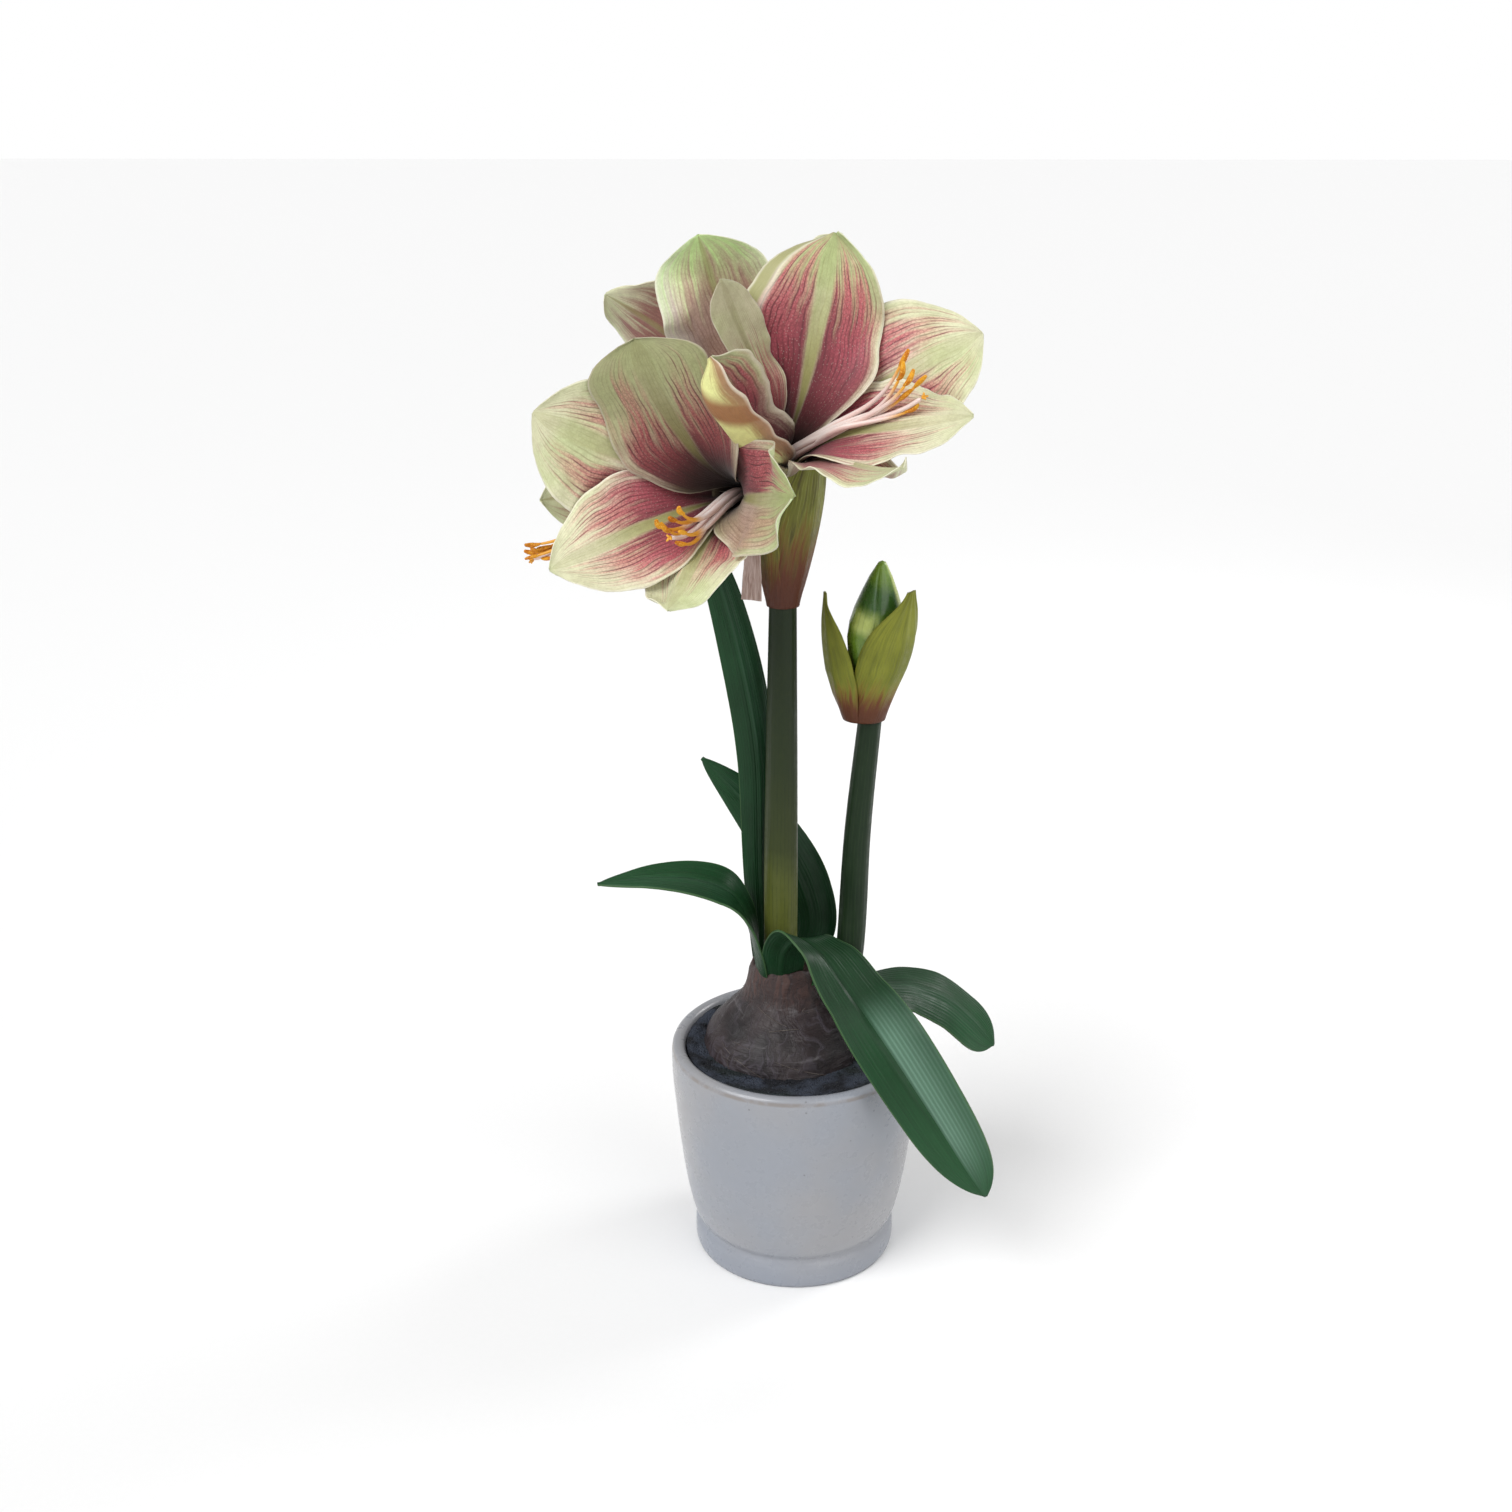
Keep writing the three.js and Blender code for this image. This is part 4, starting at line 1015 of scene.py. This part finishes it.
def petalGrid(bloom, form, radius, count=400):  # rows of points from foot to tip, and the way each row faces
    seed, outward, sideways = form["seed"], bloom.around(form["azimuth"]), bloom.around(form["azimuth"] + 90)
    stations = []
    centre = bloom.base + outward * radius
    for k in range(count + 1):
        s = k / count
        opening = (form["opening"] - bloomForm["lean"]) * smooth((s - 0.1) / 0.54)
        lean = math.radians(bloomForm["lean"] + opening + form["curl"] * clamp01((s - 0.6) / 0.4) ** 2)
        bend = math.radians(form["bend"]) * s ** 1.3
        ahead = turned(bloom.axis, outward, lean)
        fromBase = centre - bloom.base
        reach = (fromBase - bloom.axis * fromBase.dot(bloom.axis)).length
        inner = turned(-outward, bloom.axis, lean)
        stations.append((centre.copy(), turned(sideways, -ahead, bend), inner, reach))
        centre = centre + turned(ahead, sideways, bend) * (form["length"] / count)

    def pointAt(u, s):
        centre, lateral, face, reach = stations[round(s * count)]
        v = 2 * u - 1
        side, sideSeed = (1, seed + 50) if v > 0 else (0, seed)
        half = form["width"] / 2 * petalWidth(s, form)
        free, outer = smooth((s - 0.25) / 0.5), smooth((s - 0.45) / 0.5)
        cup = form["cup"] * (1 - outer) + form["tipCup"] * outer + 0.5
        arc = half / reach * (1 - free) + math.radians(cup) * free
        wave = form["ruffle"] * smooth((s - 0.25) / 0.35) * (1 - 0.6 * smooth((s - 0.9) / 0.1))
        turn = 2 * math.pi * (form["waves"] * s + form["phase"]) + (1.9 if v > 0 else 0)
        lift = wave * v * v * math.sin(turn)
        lift += bloomForm["edgeWave"] * v ** 4 * smooth((s - 0.3) / 0.3) \
            * noise.noise(Vector((s * 13, sideSeed, 0))) * 1.6
        lift += 0.5 * noise.noise(Vector((v * 1.6, s * 5, seed))) * smooth((s - 0.3) / 0.3)
        lift -= bloomForm["ribDepth"] * math.exp(-(v / 0.07) ** 2) * smooth((s - 0.12) / 0.2) \
            * smooth((1.02 - s) / 0.3)
        lift += form["roll"][side] * smooth((abs(v) - 0.6) / 0.4) ** 2 * smooth((s - 0.35) / 0.25)
        half *= 1 + form["flare"][side] * smooth((s - 0.42) / 0.2) * smooth((1.02 - s) / 0.1)
        half *= 1 + 0.06 * noise.noise(Vector((s * 9, sideSeed, 4))) * smooth((s - 0.4) / 0.2)
        return archedPoint(centre, lateral, face, half, arc, v, lift)

    rows = [[pointAt(j / across, i / along) for j in range(across + 1)] for i in range(along + 1)]
    return rows, [stations[round(i / along * count)][2] for i in range(along + 1)]


def foldedGrid(form):  # a folded petal led by three lines: its near margin, its fold and its far margin
    lines = [[point for point, tangent in routePoints(form[key], along)] for key in ("near", "fold", "far")]
    rows, faces = [], []
    for i, (near, fold, far) in enumerate(zip(*lines)):
        s = i / along
        face = ((near + far) / 2 - fold).normalized()
        middle, shrink = (near + far) / 4 + fold / 2, 1 - 0.8 * smooth((s - 0.92) / 0.08)
        row = []
        for j in range(across + 1):
            v = 2 * j / across - 1
            point = far * ((v * v - v) / 2) + fold * (1 - v * v) + near * ((v * v + v) / 2)
            ripple = noise.noise(Vector((s * 11, form["seed"] + v, 0)))
            lift = form["ruffle"] * v ** 4 * smooth((s - 0.2) / 0.3) * ripple
            row.append(middle + (point - middle) * shrink + face * lift)
        rows.append(row)
        faces.append(face)
    return rows, faces


def petalTree(rows):  # the petal's quads for nearest point searches, facing away from the throat
    corners = [i * (across + 1) + j for i in range(along) for j in range(across)]
    quads = [(k, k + 1, k + across + 2, k + across + 1) for k in corners]
    return BVHTree.FromPolygons([point for row in rows for point in row], quads)


def nearestOn(tree, point):  # outward normal there, depth outside the petal, and whether the point is over it
    place, normal, index, distance = tree.find_nearest(point)
    depth = (point - place).dot(normal)
    return normal, depth, math.sqrt(max(0.0, distance ** 2 - depth ** 2)) < 0.5 + 0.3 * abs(depth)


def tuckBehind(rows, faces, coverRows, towards):  # one side of a petal passes behind its neighbour
    cover = petalTree(coverRows)
    hold = [smooth((towards * (2 * j / across - 1) - 0.05) / 0.55) for j in range(across + 1)]
    for attempt in range(3):
        needed = [0.0] * (along + 1)
        for i, row in enumerate(rows):
            for share, point in zip(hold, row):
                if share < 0.2:
                    continue
                normal, depth, isOver = nearestOn(cover, point)
                if isOver and -tuck["deepest"] < depth < tuck["gap"]:
                    push = (tuck["gap"] - depth) / max(0.5, -normal.dot(faces[i])) / share
                    needed[i] = max(needed[i], min(tuck["most"], push) * smooth((i / along - 0.06) / 0.12))
        wide = [max(needed[max(0, i - 4):i + 5]) for i in range(along + 1)]
        for step in range(12):
            wide = [(before + here * 2 + after) / 4 for before, here, after
                    in zip(wide[:1] + wide, wide, wide[1:] + wide[-1:])]
        for i, row in enumerate(rows):
            row[:] = [point - faces[i] * (wide[i] * share) for share, point in zip(hold, row)]


lining = dict(material_offset=1, material_offset_rim=1)  # the inner side's material
petalMasks = ["petalTone", "petalBack", "petalSides", "petalShade"]
petalTrees = {}
for order, (name, spec) in enumerate(blooms.items()):
    bloom = BloomFrame(spec)
    forms = spec["petals"]
    grids = []
    for k, form in enumerate(forms):
        form["seed"] = 10.0 * order + 1.37 * k + 0.5
        radius = bloomForm["petalRadii"][k % 2]
        grids.append(foldedGrid(form) if "fold" in form else petalGrid(bloom, form, radius))
    for behind, cover in spec.get("order", tuck["order"]):
        turn = (forms[cover]["azimuth"] - forms[behind]["azimuth"] + 180) % 360 - 180
        tuckBehind(*grids[behind], grids[cover][0], 1 if turn > 0 else -1)
    petalTrees[name] = [petalTree(rows) for rows, faces in grids]
    parts = []
    for form, (rows, faces) in zip(forms, grids):
        piece = sheetPiece("petal", across, along, lambda u, s: rows[round(s * along)][round(u * across)],
                           petalOutside)
        piece.data.materials.append(petalInside)
        setAttributes(piece, "FLOAT", petalSeed=form["seed"])
        tone = (form["blush"], form["reach"], form["green"])
        masks = (tone, form["back"], form["sides"], form["shade"])
        setAttributes(piece, "FLOAT_VECTOR", **dict(zip(petalMasks, masks)))
        thickenBlade(piece, bloomForm["thickness"], bloomForm["margin"], **lining)
        parts.append(piece)
    throat = sheetPiece("throat", 36, 10, lambda u, s: (
        bloom.base + bloom.axis * (bloomForm["throatLength"] * s)
        + bloom.around(360 * u) * sample(bloomForm["throatRadii"], s)), petalOutside)
    throat.data.materials.append(petalInside)
    for item in throat.data.uv_layers.active.data:
        item.uv = (item.uv.x, item.uv.y * 0.2)
    mergeDoubles(throat, False)
    # all masks at a half: the throat tube takes half the painted shade on both sides
    setAttributes(throat, "FLOAT_VECTOR", **dict.fromkeys(petalMasks, (0.5, 0.5, 0)))
    setAttributes(throat, "FLOAT", petalSeed=order)
    thickenBlade(throat, bloomForm["throatThickness"], 1, **lining)
    foot = Vector((*spec["root"], bloomForm["stemTop"] + 0.3))
    route = [foot, foot + Vector((0, 0, 8)), Vector(spec["via"])]
    route += [bloom.base - bloom.axis * distance for distance in (13, 6, -2)]
    pedicel = tubePiece("pedicel", route, bloomForm["pedicelRadii"], pedicelGreen, 20, 40)
    finishPiece(joinPieces("open_" + name, parts + [throat, pedicel]), "petal", name)
print("blooms made")

# Stamens: six filaments that turn up at their ends into gold anthers, and a style with a three-lobed stigma
stamenForm = dict(
    count=6, styleReach=0.96, antherLength=8, clear=2.6, clearFrom=14, filament=[1.3, 1.75, 1.65, 1.15, 0.6],
    style=[1.2, 1.4, 1.2, 1], anther=[0.6, 1.1, 1.25, 1.05, 0.6], foot=[1.8, 2.5, 2.4, 1.6])


def clearOfPetals(route, trees, base):  # lifts a stalk's points off the petals it would pass through
    for attempt in range(5):
        pushes = []
        for point in route:
            push = Vector((0, 0, 0))
            for tree in trees:
                normal, depth, isOver = nearestOn(tree, point)
                if isOver and -stamenForm["clear"] < depth < 12:
                    push -= normal * (depth + stamenForm["clear"])
            pushes.append(push * smooth(((point - base).length - stamenForm["clearFrom"]) / 10))
        last = len(route) - 1
        route = [point + (pushes[max(0, i - 1)] + pushes[i] * 2 + pushes[min(last, i + 1)]) * 0.22
                 for i, point in enumerate(route)]
    return route


for name, spec in blooms.items():
    bloom, stamens = BloomFrame(spec), spec["stamens"]
    heading = turned(bloom.axis, bloom.around(stamens["azimuth"]), math.radians(stamens["opening"]))
    upward = squareTo(Vector((0, 0, 1)), heading)
    level = heading.cross(upward)
    foot = bloom.base + bloom.axis * 2.3
    stalks = [tubePiece("foot", [foot, foot + bloom.axis * 2.2, foot + bloom.axis * 4.5], stamenForm["foot"],
                        filamentPink, 12, 6)]
    anthers = []
    for k in range(stamenForm["count"] + 1):
        isStyle = k == stamenForm["count"]
        turn = 2 * math.pi * k / stamenForm["count"] + 0.4
        reach = stamens["length"] * (stamenForm["styleReach"] if isStyle else 0.86 + 0.035 * ((k * 2) % 3))
        away = turned(upward, level, turn) * (0 if isStyle else 1)
        start = foot + bloom.axis * 3.4 + away * 1.7
        rise = foot + bloom.axis * reach * 0.4 + away * stamens["fan"] * 0.45
        dip = foot + heading * reach * 0.7 - upward * stamens["sag"] + away * stamens["fan"] * 0.6
        lift = upward * stamens["lift"] * (0.1 + 0.4 * (k % 3))
        end = foot + heading * reach + away * stamens["fan"] + lift
        route = [start * (1 - t) ** 3 + rise * 3 * t * (1 - t) ** 2 + dip * 3 * t * t * (1 - t) + end * t ** 3
                 for t in [i / 10 for i in range(11)]]
        route = clearOfPetals(route, petalTrees[name], bloom.base)
        end = route[-1]
        radii = stamenForm["style" if isStyle else "filament"]
        stalks.append(tubePiece("stalk", route, radii, filamentPink, 12, 40))
        setAttributes(stalks[-1], "FLOAT", goldFrom=2 if isStyle else stamens["gold"])
        if isStyle:
            for lobe in range(3):
                out = turned(upward, level, 2 * math.pi * lobe / 3 + 0.4)
                tip = [end - heading * 0.5, end + heading * 1.2 + out * 0.8, end + heading * 1.9 + out * 2.0]
                stalks.append(tubePiece("stigma", tip, [0.7, 0.65, 0.4], filamentPink, 8, 8))
        else:
            ahead = (end - route[-3]).normalized()
            bow = turned(level, upward, turn * 1.7).normalized()
            step = stamenForm["antherLength"] / 4
            route = [end + ahead * step * (i - 1.2) + bow * (0.45 * (i - 1.5) ** 2 * (0.6 if k % 2 else -0.6))
                     + upward * 0.25 * (i - 1) ** 2 for i in range(5)]
            anthers.append(tubePiece("anther", route, stamenForm["anther"], antherGold, 12, 24,
                                     lambda angle, s: 0.16 * math.cos(2 * angle)))
    filaments = joinPieces(name.replace("bloom", "filaments"), stalks)
    finishPiece(filaments, "filament", name.replace("bloom", "stamens"))
    finishPiece(joinPieces(name.replace("bloom", "anthers"), anthers), "anther")
print("stamens made")

# Spathe valves and bud bracts hug a round core
valves = dict(
    spathe_valve_right=dict(
        core=[(-8.2, 4, 366), (-5.2, 2, 446)], radius=[7.4, 11.2, 14.4, 17, 18.2, 18.2],
        middle=[-48, -48, -44, -42, -42, -42], half=[104, 104, 96, 84, 68, 34]),
    spathe_valve_left=dict(
        core=[(-8.2, 4, 366), (-9.2, 2, 422)], radius=[7.3, 10.6, 13, 15, 16.6],
        middle=[184, 200, 212, 222, 228], half=[80, 70, 60, 46, 8]),
    bud_bract_right=dict(
        core=[(34.6, 11.8, 304), (37.6, 11.5, 318), (40.1, 10.4, 332), (41.5, 9.6, 346), (42.9, 8.8, 360),
              (44.3, 8, 374.5)],
        radius=[9.9, 11.4, 14.8, 17.4, 16.8, 14.2], middle=[-68, -62, -56, -53, -52, -34],
        half=[106, 96, 84, 73, 52, 8]),
    bud_bract_left=dict(
        core=[(33, 11.5, 304), (28.3, 11.3, 317.4), (25.5, 11.2, 330.8), (24.2, 11, 344.2),
              (22.8, 10.8, 357.6), (22, 10.5, 371)],
        radius=[9.6, 10, 11.3, 11.9, 11.1, 8.8], middle=[153, 177, 185, 186, 191, 183],
        half=[101, 107, 100, 86, 61, 7]))
valveForm = dict(across=60, along=70, thickness=1.1, margin=0.6)


def smoothSample(values, s):  # like sample, rounded at the stops
    last = len(values) - 1
    return sum(sample(values, clamp01((s * last + (k - 4) / 8) / last)) * (1 / 9) for k in range(9))


def valvePoint(valve):
    centres = [Vector(p) for p in valve["core"]]

    def pointAt(u, s):
        v = 2 * u - 1
        radius = smoothSample(valve["radius"], s)
        ripple = noise.noise(Vector((v, s * 6, 1)))
        radius += 0.25 * math.cos(v * 14) * smooth(s / 0.15) + 0.4 * v * v * ripple
        angle = math.radians(smoothSample(valve["middle"], s) + smoothSample(valve["half"], s) * v)
        return sample(centres, s) + Vector((radius * math.cos(angle), radius * math.sin(angle), 0))

    return pointAt


for name, valve in valves.items():
    slot, paper = ("spathe", spathePaper) if "spathe" in name else ("bud_bract", budBractPaper)
    piece = sheetPiece("papery_" + name, valveForm["across"], valveForm["along"], valvePoint(valve), paper)
    thickenBlade(piece, valveForm["thickness"], valveForm["margin"])
    finishPiece(piece, slot, name)

withered = dict(route=[(-20.9, -9.5, 411), (-22.6, -10.6, 401), (-23, -10.2, 388), (-23.6, -9, 372)],
                spread=[(0.7, -0.7, 0), (0.9, -0.5, 0), (1, -0.3, 0), (1, -0.2, 0)],
                width=10.5, cup=[12, 14, 16], footWidth=0.7, crease=0, across=24, along=36, thickness=1.1,
                margin=0.5)
witheredPoint = ribbonPoint(
    withered, lambda s: withered["footWidth"] + (1 - withered["footWidth"]) * s, withered["along"])
piece = sheetPiece("papery_withered_bract", withered["across"], withered["along"], witheredPoint, witheredPaper)
thickenBlade(piece, withered["thickness"], withered["margin"])
finishPiece(piece, "withered_bract", "withered_bract")

# Closed bud: overlapping tepals seen as soft seams
bud = dict(foot=(37.3, 12, 306.4), tip=(41.4, 9, 388), seams=3, seamDepth=0.9, sides=96, steps=80,
           radii=[5.2, 7, 9.2, 12, 14.1, 15.1, 14.5, 12.4, 9.4, 6, 1.6])


def budRipple(angle, s):
    seam = abs(math.sin(bud["seams"] * (angle + 0.7 * s - 0.5) / 2))
    groove = bud["seamDepth"] * math.exp(-(seam / 0.13) ** 2) * smooth(s / 0.3) * smooth((1 - s) / 0.15)
    return -groove + 0.25 * math.sin(2 * angle)


budRoute = [bud["foot"], Vector(bud["foot"]).lerp(Vector(bud["tip"]), 0.5), bud["tip"]]
piece = tubePiece("closed_bud", budRoute, bud["radii"], budGreen, bud["sides"], bud["steps"], budRipple)
finishPiece(piece, "bud_green", "bud")
print("bracts and bud made")

# Floor, light and camera
stage = dict(floorSize=40, floor=(240, 240, 240), shade=(236, 236, 236), worldStrength=0.5)
deselectAll()
bpy.ops.mesh.primitive_plane_add(size=stage["floorSize"], location=(0, 0, 0))
floor = bpy.context.object
floor.name = "studio_floor"
paper = Paint("floorPaper", stage, 0.9, 0.1)
paper.color = paper.blend(fade(paper.clouds(40)["Fine"], 0.3, 0.7, 0, 0.2), "floor", "shade")
floor.data.materials.append(paper.finish())
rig.stage(floor)

lights = dict(
    keyLight=("SUN", (-1.3, -1.2, 1.9), (0, 0, 0.3), dict(energy=2.3, angle=0.7)),
    fillLight=("SUN", (1.6, -1.5, 1.2), (0, 0, 0.3), dict(energy=1, angle=1)),
    sheenLight=("AREA", (1, 0.55, 0.9), (0, 0, 0.2), dict(energy=5, shape="DISK", size=0.5)))
for name, (kind, place, aim, settings) in lights.items():
    light = bpy.data.lights.new(name, kind)
    for key, value in settings.items():
        setattr(light, key, value)
    lamp = bpy.data.objects.new(name, light)
    lamp.location = place
    lamp.rotation_euler = (Vector(aim) - Vector(place)).to_track_quat("-Z", "Y").to_euler()
    bpy.context.scene.collection.objects.link(lamp)

world = bpy.data.worlds.new("studioWorld")
bpy.context.scene.world = world
world.use_nodes = True
sky = world.node_tree.nodes["Background"]
sky.inputs["Color"].default_value = (1, 1, 1, 1)
strength = fade(addNode(world.node_tree, "LightPath")["Is Camera Ray"], 0, 1, stage["worldStrength"], 1)
world.node_tree.links.new(strength.socket, sky.inputs["Strength"])

cameraView = dict(place=(0, -0.872, 0.604), tilt=70, turn=1.42, lens=1800 / 1512 * 36)
camera = bpy.data.objects.new("studioCamera", bpy.data.cameras.new("studioCamera"))
camera.location = cameraView["place"]
camera.rotation_euler = (math.radians(cameraView["tilt"]), 0, math.radians(cameraView["turn"]))
camera.data.lens = cameraView["lens"]
camera.data.sensor_width = 36
bpy.context.scene.collection.objects.link(camera)
bpy.context.scene.camera = camera
bpy.context.scene.view_settings.view_transform = "Standard"
print("stage set")

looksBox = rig.bounds()
with open("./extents.json", "w") as sizeFile:
    json.dump({"cad": [list(map(float, corner)) for corner in cadBox],
               "visual": [list(map(float, corner)) for corner in looksBox]}, sizeFile)
